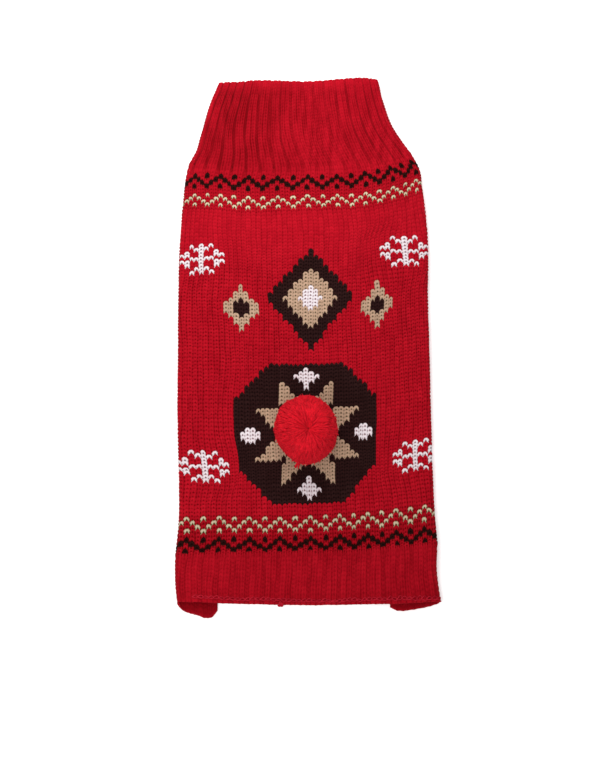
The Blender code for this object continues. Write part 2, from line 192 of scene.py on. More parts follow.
# Knit charts. Columns and rows are counted as on the map above.
# peak: a column where the zigzag is at its highest.
Band = namedtuple("Band", "top_row peak yarn")
BANDS = [Band(2, 2, "black"), Band(8, 2, "cream"), Band(98, 1, "cream"), Band(103, 1, "black")]
BAND_REPEAT = 6
ZIGZAG = [(0, 3), (1, 5), (2, 4), (0, 3)]  # stitches of the repeat, for each of its rows

SNOWFLAKE = [
    "..X.X.X..",
    "...XXX...",
    ".X..X..X.",
    "XX..X..XX",
    "..XXXXX..",
    "XX..X..XX",
    ".X..X..X.",
    "...XXX...",
    "..X.X.X..",
]
Motif = namedtuple("Motif", "column row")
SNOWFLAKES = [Motif(4, 27), Motif(46, 27), Motif(4, 84), Motif(48, 84)]


# ---- The map from columns and rows to places ----


def smooth_through(knots, values, at):
    """Cubic curve through the values at the knots, read at each place in at.

    values hold one number for each knot, or one array of the shape of at.
    """
    knots, values = np.array(knots, float), np.array(values, float)
    slopes = np.gradient(values, knots, axis=0)
    i = np.clip(np.searchsorted(knots, at) - 1, 0, len(knots) - 2)
    step = knots[i + 1] - knots[i]
    t = (at - knots[i]) / step

    def pick(table, index):
        if table.ndim == 1:
            return table[index]
        return np.take_along_axis(table, index[None], axis=0)[0]

    start = (1 + 2 * t) * (1 - t) ** 2 * pick(values, i) + t * (1 - t) ** 2 * step * pick(slopes, i)
    end = t**2 * (3 - 2 * t) * pick(values, i + 1) - t**2 * (1 - t) * step * pick(slopes, i + 1)
    return start + end


def along(field, row):
    """One field of COURSES, read at each row."""
    return smooth_through([c.row for c in COURSES], [getattr(c, field) for c in COURSES], row)


def smooth_step(start, end, at):
    t = np.clip((at - start) / (end - start), 0.0, 1.0)
    return t * t * (3 - 2 * t)


def course_height(column, row):
    """Y of a course where the upper layer crosses a column."""
    across = np.clip((column - CENTRE_COLUMN) / CENTRE_COLUMN, -1.0, 1.0)
    fields = ("y_left", "y_mid_left", "y_mid", "y_mid_right", "y_right")
    return smooth_through(ACROSS, [along(field, row) for field in fields], across)


def under_height(x, row):
    """Y of a course on the lower layer, a straight line between the two folds."""
    left, right = along("x_left", row), along("x_right", row)
    share = (x - left) / (right - left)
    return along("y_left", row) * (1 - share) + along("y_right", row) * share


def creases_at(x, y):
    """Height that the soft creases add at a place."""
    total = np.zeros_like(x)
    for crease in CREASES:
        turn = math.radians(crease.angle)
        dx, dy = x - crease.x, y - crease.y
        lengthwise = (dx * math.cos(turn) + dy * math.sin(turn)) / crease.half_length
        crosswise = (dy * math.cos(turn) - dx * math.sin(turn)) / crease.half_width
        total = total + crease.height * np.exp(-(lengthwise**2) - crosswise**2)
    return total


def upper_layer(column, row, wall, radius):
    """Middle of the wall where the garment's upper layer crosses a column and a row."""
    inset = wall / 2 + radius
    left, right = along("x_left", row) + inset, along("x_right", row) - inset
    across = (column - CENTRE_COLUMN) / (CENTRE_COLUMN - HALF_FOLD)
    eased = across * (1 + along("crowd", row) * (1 - across**2))
    middle = along("x_mid", row)
    x = middle + (right - left) / 2 * eased + ((left + right) / 2 - middle) * eased**2
    y = course_height(column, row)

    to_fold = np.minimum(x - left, right - x)
    rounding = np.exp(-((to_fold / ROLL_WIDTH) ** 2))
    lift = along("lift", row)
    z = lift + (wall / 2 + 2 * radius - lift) * rounding
    z = z + creases_at(x, y) * (1 - rounding)
    sag = smooth_step(*SAG_ROWS, row) * smooth_step(SAG_X[1], SAG_X[0], np.abs(x))
    return x, y, z + (SAG_HEIGHT - z) * sag


def droop_at(column, row):
    """How far the turned-under ends of the hem hang below it."""
    left = column < CENTRE_COLUMN
    outside = np.where(left, FOLD_COLUMNS[0] - column, column - FOLD_COLUMNS[1])
    share = np.clip(outside / (UNDER_COLUMNS + HALF_FOLD), 0.0, 1.0)
    droops = [smooth_through(DROOP_SHARES, DROOPS[end], share) for end in ("left", "right")]
    return np.where(left, *droops) * smooth_step(*DROOP_ROWS, row)


def wrapped(column, row, wall, radius, under_columns, far_x):
    """Middle of a wall that turns under at the side folds and goes on to far_x(side)."""
    first, last = FOLD_COLUMNS
    x, y, z = upper_layer(np.clip(column, first + HALF_FOLD, last - HALF_FOLD), row, wall, radius)
    for side, fold, outline in ((-1, first, "x_left"), (1, last, "x_right")):
        outside = (column - fold) * side
        edge = along(outline, row) - side * (wall / 2 + radius)
        blend = np.clip((outside + HALF_FOLD) / (2 * HALF_FOLD), 0.0, 1.0)
        in_fold = outside > -HALF_FOLD
        x = np.where(in_fold, edge + side * radius * np.sin(blend * math.pi), x)
        z = np.where(in_fold, wall / 2 + radius + radius * np.cos(blend * math.pi), z)
        share = np.clip((outside - HALF_FOLD) / under_columns, 0.0, 1.0)
        x = np.where(outside > HALF_FOLD, edge + (far_x(side) - edge) * share, x)
        y = np.where(in_fold, y + (under_height(x, row) - y) * blend, y)
    return x, y, z


def back_wall(column, row):
    """Middle of the back panel's and the back hem's wall."""
    under = (UNDER_COLUMNS, lambda side: side * SEAM_X)
    x, y, z = wrapped(column, row, PANEL_WALL, FOLD_RADIUS, *under)
    return x, y - droop_at(column, row), z


def thinned(at_collar, at_panel, row):
    """A size of the collar, which changes to the panels' at its seam."""
    return at_collar + (at_panel - at_collar) * smooth_step(-6.0, 0.0, row)


def collar_wall(column, row):
    """Middle of the collar's wall, a closed loop of COLLAR_COLUMNS columns."""
    wall = thinned(COLLAR_WALL, PANEL_WALL, row)
    radius = thinned(COLLAR_FOLD_RADIUS, FOLD_RADIUS, row)
    last = FOLD_COLUMNS[1]
    under = last + (column - last) * last / (COLLAR_COLUMNS - last)
    column = np.where(column > last, under, column)
    column = np.where(column > 2 * last - HALF_FOLD, column - 2 * last, column)

    def opposite_fold(side):
        return along("x_left" if side > 0 else "x_right", row) + side * (wall / 2 + radius)

    return wrapped(column, row, wall, radius, last - 2 * HALF_FOLD, opposite_fold)


def belly_wall(column, row):
    """Middle of the belly's wall. Its columns go on from the back panel's last one."""
    share = (column - LAST_COLUMN) / BELLY_COLUMNS
    x = (SEAM_X - SEAM_GAP) * (1 - 2 * share)
    return x, under_height(x, row), np.full(x.shape, PANEL_WALL / 2)


def cuff_wall(side):
    """The wall of a leg hole's cuff: a flat oval ring, its row 0 at the seam."""

    def wall(column, row):
        angle = column / CUFF_COLUMNS * 2 * math.pi
        reach = (CUFF_BAND - SEAM_GAP) * (1 - row / CUFF_ROWS)
        x = side * LEG_HOLE_CENTRE[0] + (LEG_HOLE_HALF[0] + reach) * np.cos(angle)
        y = LEG_HOLE_CENTRE[1] + (LEG_HOLE_HALF[1] + reach) * np.sin(angle)
        return x, y, np.full(x.shape, CUFF_WALL / 2)

    return wall


def to_world(points):
    """Garment millimetres to world metres."""
    return (np.asarray(points, float) - (*OUTLINE_CENTRE, 0.0)) * MM


def unit(vectors):
    return vectors / np.maximum(np.linalg.norm(vectors, axis=-1, keepdims=True), 1e-9)


def frame_at(wall, column, row):
    """Middle of a wall, and the ways out of it, down its courses and across its columns."""
    step = 0.05
    here = np.stack(wall(column, row), -1)
    across = np.stack(wall(column + step, row), -1) - np.stack(wall(column - step, row), -1)
    down = np.stack(wall(column, row + step), -1) - np.stack(wall(column, row - step), -1)
    return here, unit(np.cross(down, across)), unit(down), unit(across)


NOISE_ROWS = 64  # rows of lumps before the noise repeats


def value_noise(column, row, lumps, seed):
    """Smooth noise from -1 to 1 on the map, in lumps of so many columns and rows.

    It repeats after COLLAR_COLUMNS columns, so that it closes round the collar and is the
    same on both sides of a seam.
    """
    count = round(COLLAR_COLUMNS / lumps[0])
    lattice = np.random.default_rng(seed).uniform(-1.0, 1.0, (count, NOISE_ROWS))
    a, b = column / lumps[0], row / lumps[1]
    i, j = np.floor(a).astype(int), np.floor(b).astype(int)
    s, t = smooth_step(0, 1, a - i), smooth_step(0, 1, b - j)

    def at(dj):
        below = (j + dj) % NOISE_ROWS
        return lattice[i % count, below] * (1 - s) + lattice[(i + 1) % count, below] * s

    return at(0) * (1 - t) + at(1) * t


# ---- Stitches ----


def rib_share(cloth, column, row):
    """How far the rib has set in, from 0 in plain knit to 1."""
    if cloth.rib is None:
        return 0.0 * column
    share = smooth_step(cloth.rib.start, cloth.rib.full, row)
    if cloth.rib is COLLAR_RIB:
        opened = np.exp(-(((column - OPEN_RIB_COLUMN) / OPEN_RIB_HALF) ** 2))
        share = share * (1 - OPEN_RIB_SHARE * opened * smooth_step(-27, -19, row))
    return share


def from_purl(column):
    """Columns from the middle of the nearest purl column of rib, from -1.5 to 1.5."""
    return column % RIB_REPEAT - RIB_REPEAT / 2


def narrowing(cloth, column, row, share):
    """How far rib moves a place across, because its purl columns take little room."""
    if cloth.rib is None:
        return 0.0 * column
    away = from_purl(column)
    width = cloth.rib.purl_width
    if cloth.name == "collar":
        width = width * (1 + 0.45 * value_noise(column, row, (3, 11), 7) * smooth_step(0, -6, row))
    half = width / 2
    spread = (RIB_REPEAT / 2 - half) / (RIB_REPEAT / 2 - 0.5)
    outer = np.sign(away) * (half + (np.abs(away) - 0.5) * spread)
    return (np.where(np.abs(away) < 0.5, away * width, outer) - away) * share


def edge_flatness(cloth, column, row):
    """1 on an edge where arrowheads would stick out, 0 two courses from it."""
    under_body = smooth_step(51.0, 53.0, column) + smooth_step(1.0, -1.0, column)
    flat = np.clip(under_body, 0.0, 1.0) * (1 - smooth_step(0.0, 2.0, np.abs(row)))
    for edge in cloth.flat_rows:
        flat = np.maximum(flat, 1 - smooth_step(0.0, 2.0, np.abs(row - edge)))
    return flat


def raised(cloth, column, row, share):
    """Courses by which a place stands above its course in the arrowhead of a plain stitch."""
    tip = 1 - np.abs(2 * (column % 1) - 1) ** TIP_ROUNDNESS
    purl = share * (np.abs(from_purl(column)) < 0.5)
    return CHEVRON * tip * (1 - purl) * (1 - edge_flatness(cloth, column, row))


def near_hole(row, hole_row):
    """1 at a hole's place in its course, 0 away from it."""
    away = (row - hole_row + 0.5) % 1 - 0.5
    return np.exp(-((away / HOLE_WIDTH) ** 2))


def plain_depth(column, row, share):
    """Depth of a plain stitch's surface under its crests, as a share of STITCH_RELIEF.

    Courses show less in rib, and least at the sewn seams.
    """
    place = column % 1
    leg = np.abs(np.sin(2 * math.pi * place))
    at_tip = TIP_VALLEY[0] + TIP_VALLEY[1] * near_hole(row, TIP_HOLE_ROW)
    at_edge = EDGE_VALLEY[0] + EDGE_VALLEY[1] * near_hole(row, EDGE_HOLE_ROW)
    valley = np.where(np.abs(place - 0.5) < 0.25, at_tip, at_edge)
    at_seam = np.exp(-((row / 0.3) ** 2)) + np.exp(-(((row - HEM_ROW) / 0.3) ** 2))
    groove = COURSE_GROOVE * (1 - RIB_GROOVE_LOSS * share) * (1 - SEAM_GROOVE_LOSS * at_seam)
    groove = groove * (1 - np.sin(math.pi * (row % 1)) ** 0.7)
    return valley * (1 - leg) + leg * groove


def purl_depth(column, row):
    """The same for a purl stitch, which is a bump that lies across its column."""
    bump = 0.45 + 0.55 * np.sin(math.pi * (column % 1))
    return 1 - bump * np.sin(math.pi * (row % 1)) ** 0.8


def unevenness(cloth, column, row):
    """How deep the furrows of rib are, some more than others."""
    uneven = 0.66 + 0.34 * value_noise(column, row, (3, 9), 6)
    if cloth.rib is COLLAR_RIB:
        to_right = smooth_step(10, 28, column)
        uneven = uneven + 0.22 - 0.34 * to_right + 0.20 * value_noise(column, row, (6, 5), 9)
        uneven = uneven * (1 - smooth_step(-19, -26, row) * (0.30 + 0.45 * to_right))
    return uneven


def relief(cloth, column, row, share, side):
    """Depth of the stitched surface under the wall's face, on its outer or inner side.

    Also how deep the place looks, which the yarns turn into painted shade: the grooves of rib
    are wide and let the light in, and the inner side gets more of that painted shade.
    """
    in_purl = np.abs(from_purl(column)) < 0.5
    purl = share * in_purl if side > 0 else 1 - share * in_purl
    stitch = STITCH_RELIEF * plain_depth(column, row, share) * (1 - purl)
    stitch = stitch + PURL_RELIEF * purl_depth(column, row) * purl
    stitch = stitch * (1 + 0.12 * value_noise(column, row, (1, 1), 5))
    if cloth.rib is None:
        return stitch, stitch
    at_hem = cloth.name == "back_hem_rib"
    # Along the bound-off edge: partly real relief, the rest painted shade.
    drawn_in_and_shade = at_hem * HEM_DRAWN_IN_AND_SHADE * np.exp(-(((row - CHAIN_ROW) / DRAWN_IN_HALF) ** 2))
    valley = np.exp(-((from_purl(column) / GROOVE_HALF) ** 2))
    groove = cloth.rib.depth * share * unevenness(cloth, column, row)
    if side < 0:
        stitch = stitch + groove * INNER_GROOVE * (1 - valley)
        shadow = at_hem * FLAP_SHADOW * smooth_step(*FLAP_SHADOW_ROWS, row)
        # Painted shade on the inner side, and painted shadow on the hem's turned-under ends.
        return stitch, INNER_CONTRAST * stitch + INNER_PAINTED_SHADE + shadow
    stitch = stitch + DRAWN_IN_RELIEF * drawn_in_and_shade
    looks = RIB_LIGHT * (stitch + RIB_SHADE * groove * valley) + drawn_in_and_shade
    return stitch + groove * valley, looks


# How far some rows lie below their even places, in courses: the jacquard's floats draw them
# together.
SLIDES = [
    (-30, 0.0), (0, 0.0), (2, 0.44), (8, 0.46), (12, 0.30), (20, 0.50), (23, 0.52), (32, -0.10),
    (60, 0.0), (79, 0.55), (89, -0.25), (98, 0.52), (102, 0.62), (103, 0.78), (106, 0.58),
    (108, 0.0), (130, 0.0),
]
FOLD_SLIDE = 1.3  # how much more that is in the upper bands, at the left fold


def slide(column, row):
    """Courses by which a place of the back panel lies below its even place."""
    down = np.interp(row, *np.transpose(SLIDES))
    in_bands = smooth_step(0.0, 3.0, row) * (1 - smooth_step(10.0, 22.0, row))
    at_fold = np.exp(-((column / 4.0) ** 2))
    return down + FOLD_SLIDE * in_bands * at_fold


# How the cloth lies round each snowflake, off its even place: shifted and widened across, in
# columns, and shifted down, in courses. Lean tilts its columns and slope its courses.
Tug = namedtuple("Tug", "column row across widen lean down slope")
TUGS = [
    Tug(4, 27, 0.42, 0.040, 0.020, 0.48, -0.20),
    Tug(46, 27, -0.48, 0.380, 0.060, -0.40, 0.37),
    Tug(4, 84, 0.58, 0.120, 0.070, -0.20, 0.13),
    Tug(48, 84, -0.20, 0.125, -0.026, -0.32, -0.05),
]
TUG_REACH = (7.0, 8.0)  # columns and rows

# How far some rows of the back lie to the right of their even places, in columns, at each of
# SWAY_COLUMNS.
SWAY_COLUMNS = (0, 26, 38, 52)
SWAYS = {
    0: (0.0, 0.0, 0.0, 0.0),
    4: (0.0, -0.40, -0.30, 0.50),
    10: (0.60, -0.55, -1.05, -0.15),
    20: (0.0, 0.0, 0.0, 0.0),
    88: (0.0, 0.0, 0.0, 0.0),
    98: (0.20, 0.40, 0.32, 0.25),
    103: (0.55, 0.45, 0.15, -0.15),
    107: (0.50, 0.40, 0.10, -0.20),
    117: (0.0, 0.0, 0.0, 0.0),
}


def sway(column, row):
    """Columns by which a place of the back lies to the right of its even place."""
    total = 0.0 * column
    for k, shifts in enumerate(np.transpose(list(SWAYS.values()))):
        near = np.interp(column, SWAY_COLUMNS, np.eye(len(SWAY_COLUMNS))[k])
        total = total + near * np.interp(row, list(SWAYS), shifts)
    return total


def tugged(column, row):
    """Columns across and courses down by which a place near a snowflake is shifted."""
    across, down = 0.0 * column, 0.0 * column
    for tug in TUGS:
        aside, below = column - tug.column, row - tug.row
        near = np.exp(-((aside / TUG_REACH[0]) ** 2) - (below / TUG_REACH[1]) ** 4)
        across = across + near * (tug.across + tug.widen * aside + tug.lean * below)
        down = down + near * (tug.down + tug.slope * aside)
    return across, down


def settled(cloth, column):
    """1 inside the cloth and 0 on its two side edges, where nothing may wander."""
    first, last = cloth.columns
    inside = np.clip(np.minimum(column - first, last - column), 0.0, 1.0)
    return np.maximum(inside, cloth.closed)


def hem_hang(column):
    """Courses by which the hem's edge hangs lower than its ends."""
    return HEM_HANG * smooth_step(3, 11, column) * smooth_step(50, 42, column)


def knit_frame(cloth, column, row):
    """frame_at() for a place of the stitches, which lie a little unevenly on the wall."""
    share = rib_share(cloth, column, row)
    across = narrowing(cloth, column, row, share)
    between_bands = smooth_step(*CALM_ABOVE, row) * smooth_step(*CALM_BELOW, row)
    wander = BODY_WANDER[0] + BODY_WANDER[1] * between_bands
    if cloth.name == "collar":
        wander = wander + COLLAR_WANDER * smooth_step(0.0, -8.0, row)
    across = across + STITCH_WANDER * value_noise(column, row, (1, 4), 1)
    across = across + wander * value_noise(column, row, (5, 14), 2)
    down = sum(size * value_noise(column, row, lumps, seed) for size, lumps, seed in ROW_WANDERS)
    if cloth.wall is back_wall:
        across = across + sway(column, row)
    if cloth.name == "back_panel":
        tug_across, tug_down = tugged(column, row)
        across = across + tug_across
        down = down + slide(column, row) + tug_down
    inside = settled(cloth, column)
    down = down * inside * (1 - edge_flatness(cloth, column, row))
    if cloth.name == "collar":
        down = down + smooth_through(*np.transpose(TOP_EDGE), column) * smooth_step(-20, -27, row)
    if cloth.name == "back_hem_rib":
        down = down + hem_hang(column) * smooth_step(109, 120, row)
    down = down - raised(cloth, column, row, share)
    return frame_at(cloth.wall, column + across * inside, row + down)


def knit_face(cloth, column, row, side):
    """Places on the outer (side 1) or inner (side -1) face of the knitted cloth."""
    here, out, _, _ = knit_frame(cloth, column, row)
    depth, looks = relief(cloth, column, row, rib_share(cloth, column, row), side)
    thickness = cloth.thickness
    if cloth.name == "collar":
        thickness = thinned(COLLAR_WALL, PANEL_WALL, row)
    return here + out * (side * (thickness / 2 - depth))[..., None], looks


# ---- Meshes ----

# The corners of a grid's quads, as steps down and across, in the order that faces the
# cloth's outside or its inside, and in the order of a rim's.
OUTWARD = ((0, 0), (1, 0), (1, 1), (0, 1))
INWARD = OUTWARD[::-1]
RIM = ((0, 0), (0, 1), (1, 1), (1, 0))

# Boxes of the flat map, as (left, bottom, right, top): for both faces and both rims of a cloth
# that is stitched on both sides, then for a panel's outer face, inner face and edge.
OUTER_BOX = (0.01, 0.51, 0.99, 0.94)
INNER_BOX = (0.01, 0.05, 0.99, 0.48)
RIM_BOXES = [(0.01, 0.99, 0.99, 0.955), (0.01, 0.04, 0.99, 0.005)]
PANEL_BOX = (0.005, 0.005, 0.80, 0.92)
LINING_BOX = (0.82, 0.005, 0.995, 0.92)
EDGE_BOX = (0.005, 0.94, 0.995, 0.96)


class Surface:
    """A mesh in the making.

    Its points are in garment millimetres. Each has a stitch: the column, the row and the
    depth that the yarns' materials read and turn into painted shade. Each corner of a face has a
    place on the flat map OFBake, where a box is (left, bottom, right, top).
    """

    def __init__(self):
        self.points, self.stitches, self.faces, self.places = [], [], [], []
        self.count = 0

    def add_points(self, points, stitches):
        """Gives the new points' numbers, in the shape that the points have."""
        numbers = self.count + np.arange(points.size // 3).reshape(points.shape[:-1])
        self.points.append(points.reshape(-1, 3))
        self.stitches.append(np.broadcast_to(stitches, points.shape).reshape(-1, 3))
        self.count += numbers.size
        return numbers

    def add_faces(self, faces, places):
        self.faces += [list(face) for face in faces]
        self.places.append(np.reshape(places, (-1, 2)))

    def add_grid(self, numbers, closed, box, order):
        """Quads between the points of a grid, which may close across."""
        if closed:
            numbers = np.hstack((numbers, numbers[:, :1]))
        j, i = np.mgrid[: numbers.shape[0] - 1, : numbers.shape[1] - 1]
        below, after = (np.stack([at + step[k] for step in order], -1) for k, at in ((0, j), (1, i)))
        left, bottom, right, top = box
        u = left + (right - left) * after / i.shape[1]
        v = top + (bottom - top) * below / i.shape[0]
        self.add_faces(numbers[below, after].reshape(-1, 4).tolist(), np.stack((u, v), -1))

    def make(self, name, finishes, indices=0, crisp=True):
        """The object. indices: which of the finishes each face has."""
        mesh = bpy.data.meshes.new(name)
        mesh.from_pydata(to_world(np.concatenate(self.points)).tolist(), [], self.faces)
        layer = mesh.uv_layers.new(name="OFBake")
        layer.data.foreach_set("uv", np.concatenate(self.places).astype(np.float32).ravel())
        stitch = mesh.attributes.new("stitch", "FLOAT_VECTOR", "POINT")
        stitches = np.concatenate(self.stitches).astype(np.float32)
        stitch.data.foreach_set("vector", stitches.ravel())
        for finish in finishes:
            mesh.materials.append(finish)
        indices = np.broadcast_to(indices, len(self.faces)).astype(np.int32)
        mesh.polygons.foreach_set("material_index", indices)
        mesh.validate()
        mesh.shade_smooth()
        if crisp:
            mesh.set_sharp_from_angle(angle=CRISP_ANGLE)
        made = bpy.data.objects.new(name, mesh)
        bpy.context.scene.collection.objects.link(made)
        return made


def add_knit_face(surface, cloth, column, row, side, box, order):
    """Adds one stitched face of a cloth, and gives its points' numbers."""
    points, looks = knit_face(cloth, column, row, side)
    numbers = surface.add_points(points, np.stack((column, row, looks), -1))
    surface.add_grid(numbers, cloth.closed, box, order)
    return numbers


def stitch_lines(first, last, steps):
    return np.linspace(first, last, round((last - first) * steps) + 1)


def border(rows, count, closed):
    """A grid's outermost points, clockwise as seen from the cloth's outside.

    One loop of row and column numbers, or two if the grid closes across.
    """
    across, down = np.arange(count), np.arange(rows)
    if closed:
        return [(0 * across, across), (0 * across + rows - 1, across[::-1])]
    top, bottom = (0 * across, across), (0 * across + rows - 1, across[::-1])
    left, right = (down[::-1], 0 * down), (down, 0 * down + count - 1)
    sides = [np.array(side)[:, :-1] for side in (top, right, bottom, left)]
    return [np.concatenate(sides, axis=1)]


CRISP_ANGLE = math.radians(70)  # steeper corners of a cloth aren't smoothed over


def rim_reach(cloth, column, row, on_row_edge):
    """How far a rounded edge bulges past the last stitches, in millimetres."""
    rounded = np.isin(np.round(row), cloth.round_rows)
    if not on_row_edge:
        start = cloth.round_sides_from
        rounded = smooth_step(start, start + 2, row)
    at_purl = rib_share(cloth, column, row) * np.exp(-((from_purl(column) / 0.7) ** 2))
    lumpy = 1 + 0.1 * value_noise(column, row, (1, 1), 8)
    return (rounded * cloth.thickness / 2 * (1 - RIM_SCALLOP * at_purl) * lumpy)[:, None]


def rim_rings(cloth, column, row, loop):
    """Rings of points round the border of a cloth, from its outer face to its inner one."""
    last_row, last_column = column.shape[0] - 1, column.shape[1] - 1
    j, i = loop
    column, row = column[j, i], row[j, i]
    _, _, down, across = knit_frame(cloth, column, row)
    outer, depth = knit_face(cloth, column, row, 1)
    inner, _ = knit_face(cloth, column, row, -1)
    nearest = np.where(j == 0, cloth.rows[0], np.where(j == last_row, cloth.rows[1], row))
    by_row = 1.0 * (j == last_row) - (j == 0)
    reach = by_row[:, None] * down * rim_reach(cloth, column, nearest, True)
    if cloth.round_sides_from is not None:
        by_side = 1.0 * (i == last_column) - (i == 0)
        reach = reach + by_side[:, None] * across * rim_reach(cloth, column, row, False)
    rings = []
    for angle in math.pi * np.arange(1, RIM_STEPS) / RIM_STEPS:
        middle, half = (outer + inner) / 2, (outer - inner) / 2
        rings.append(middle + half * math.cos(angle) + reach * math.sin(angle))
    return rings, np.stack((column, row, depth), -1)


def knit_both_sides(cloth, finish):
    """A cloth with real stitches on both faces and rounded edges where it is open."""
    inset = cloth.thickness / 2 / ROW_PITCH
    top, bottom = cloth.rows
    top += inset if top in cloth.round_rows else SEAM_SET_BACK
    bottom -= inset if bottom in cloth.round_rows else SEAM_SET_BACK
    inner_rows = stitch_lines(math.ceil(top), math.floor(bottom), DOWN_STITCH)
    rows = np.unique([top, *inner_rows, bottom])
    columns = stitch_lines(*cloth.columns, ACROSS_STITCH)
    if cloth.closed:
        columns = columns[:-1]
    grid = np.meshgrid(columns, rows)
    surface = Surface()
    outer = add_knit_face(surface, cloth, *grid, 1, OUTER_BOX, OUTWARD)
    inner = add_knit_face(surface, cloth, *grid, -1, INNER_BOX, INWARD)
    for loop, box in zip(border(len(rows), len(columns), cloth.closed), RIM_BOXES):
        made, stitches = rim_rings(cloth, *grid, loop)
        rings = [surface.add_points(ring, stitches) for ring in made]
        rings = np.array([outer[tuple(loop)], *rings, inner[tuple(loop)]])
        surface.add_grid(rings, True, box, RIM)
    return surface.make(cloth.name + "_cloth", [finish])


def coarse_rim(fine, coarse, steps):
    """Faces from every steps points of a fine edge to each step of a coarse one."""
    ends = zip(range(0, len(fine), steps), coarse, coarse[1:])
    return [[*fine[k : k + steps + 1], after, here] for k, here, after in ends]


def fill_between_black(yarns, column, row, yarn_at):
    """Black yarn is thick: it fills the hole below a stitch and the corner between two."""
    black = YARNS.index("black")
    whole_column, whole_row = np.floor(column).astype(int), np.floor(row).astype(int)
    across, down = column % 1, row % 1
    at_side = np.abs(across - 0.5) > 0.25
    above = yarn_at(whole_column, whole_row - 1) == black
    below = yarn_at(whole_column, whole_row + 1) == black
    beside = yarn_at(whole_column + np.sign(across - 0.5).astype(int), whole_row) == black
    in_hole = above & ((down < 1 / DOWN_STITCH) | ~at_side & (down < 2 / DOWN_STITCH))
    in_corner = below & beside & at_side & (down > 1 - 1 / DOWN_STITCH)
    return np.where(in_hole | in_corner, black, yarns)


def knit_outside(cloth, finishes, yarn_at):
    """A large cloth with real stitches outside.

    Its inner face, which shows only through the leg holes, is plain.
    """
    columns = stitch_lines(*cloth.columns, ACROSS_STITCH)
    rows = stitch_lines(*cloth.rows, DOWN_STITCH)
    rows[0] += SEAM_SET_BACK
    rows[-1] -= SEAM_SET_BACK
    grid = np.meshgrid(columns, rows)
    surface = Surface()
    fine = add_knit_face(surface, cloth, *grid, 1, PANEL_BOX, OUTWARD)
    few_columns, few_rows = (lines[::DOWN_STITCH, ::ACROSS_STITCH] for lines in grid)
    here, out, _, _ = knit_frame(cloth, few_columns, few_rows)
    stitches = np.stack((few_columns, few_rows, 0 * few_rows), -1)
    few = surface.add_points(here - out * cloth.thickness / 2, stitches)
    surface.add_grid(few, False, LINING_BOX, INWARD)
    rims = coarse_rim(fine[0], few[0], ACROSS_STITCH)
    rims += coarse_rim(fine[:, -1], few[:, -1], DOWN_STITCH)
    rims += coarse_rim(fine[-1, ::-1], few[-1, ::-1], ACROSS_STITCH)
    rims += coarse_rim(fine[::-1, 0], few[::-1, 0], DOWN_STITCH)
    surface.add_faces(rims, rim_places(rims))

    middles = [(lines[:-1, :-1] + lines[1:, 1:]) / 2 for lines in grid]
    yarns = yarn_at(*np.floor(middles).astype(int))
    yarns = fill_between_black(yarns, *middles, yarn_at)
    indices = np.zeros(len(surface.faces))
    indices[: yarns.size] = yarns.ravel()
    return surface.make(cloth.name + "_cloth", finishes, indices)


def rim_places(rims):
    """A place on the map for each corner of the rim's faces: a row of small rectangles."""
    left, bottom, right, top = EDGE_BOX
    width = (right - left) / len(rims)
    places = []
    for k, face in enumerate(rims):
        along_edge = len(face) - 3  # steps of the fine edge
        start = left + k * width
        places += [(start + width * 0.9 * i / along_edge, bottom) for i in range(along_edge + 1)]
        places += [(start + width * 0.9, top), (start, top)]
    return np.array(places)


# ---- The charts ----


def motif_place(column, row, centre):
    """Millimetres to the right of and above a motif's centre, at nominal stitch size."""
    across = (column + 0.5 - centre[0]) * COLUMN_PITCH
    up = (centre[1] - row - 0.5) * ROW_PITCH
    return across, up


def paint(yarns, where, yarn):
    yarns[where] = YARNS.index(yarn)


def paint_bands(yarns, column, row):
    for band in BANDS:
        for step, stitches in enumerate(ZIGZAG):
            in_repeat = np.isin((column - band.peak) % BAND_REPEAT, stitches)
            paint(yarns, (row == band.top_row + step) & in_repeat, band.yarn)


def paint_snowflakes(yarns, column, row):
    half = len(SNOWFLAKE) // 2
    for flake in SNOWFLAKES:
        for j, line in enumerate(SNOWFLAKE):
            stitches = [flake.column - half + i for i, mark in enumerate(line) if mark == "X"]
            paint(yarns, (row == flake.row - half + j) & np.isin(column, stitches), "white")


MEDALLION_CENTRE = (25.5, 76.0)  # column and row under the pompom
MEDALLION_HALF = 56.0
MEDALLION_DIAGONAL = 84.0
PETAL = 21.5
PETAL_GAP = 2.8
DOTS = [(0, 45), (0, -45), (45, 0), (-45, 0)]  # to the right of and above its middle
DOT_HALF = 8.5
# Column, row, half width and half height of the diamonds above it.
LARGE_DIAMOND = (26.5, 38.5, 35.0, 42.0)
SMALL_DIAMONDS = [(12.5, 41.5, 15.0, 18.0), (40.5, 41.5, 15.0, 18.0)]


def paint_medallion(yarns, column, row):
    """A stepped octagon with an eight-petalled star, the pompom being its middle."""
    across, up = motif_place(column, row, MEDALLION_CENTRE)
    a, b = np.abs(across), np.abs(up)
    inside = (np.maximum(a, b) < MEDALLION_HALF) & (a + b < MEDALLION_DIAGONAL)
    paint(yarns, inside, "brown")
    for near, far in ((a, b), (b, a)):
        petal = (near > PETAL_GAP) & (near < PETAL) & (far - near > PETAL_GAP) & (far - near < PETAL)
        paint(yarns, petal, "tan")
    for x, y in DOTS:
        dot = np.abs(across - x) / DOT_HALF + np.abs(up - y) / DOT_HALF
        paint(yarns, dot < 1, "white")


def diamond(column, row, shape):
    """How far out a stitch lies in a diamond: 1 is on its outline."""
    across, up = motif_place(column, row, shape[:2])
    return np.abs(across) / shape[2] + np.abs(up) / shape[3]


def paint_diamonds(yarns, column, row):
    """A large diamond between two small ones, above the medallion."""
    large = diamond(column, row, LARGE_DIAMOND)
    paint(yarns, large < 1, "brown")
    paint(yarns, large < 0.62, "tan")
    paint(yarns, large < 0.26, "white")
    for shape in SMALL_DIAMONDS:
        small = diamond(column, row, shape)
        paint(yarns, small < 1, "tan")
        paint(yarns, small < 0.45, "brown")


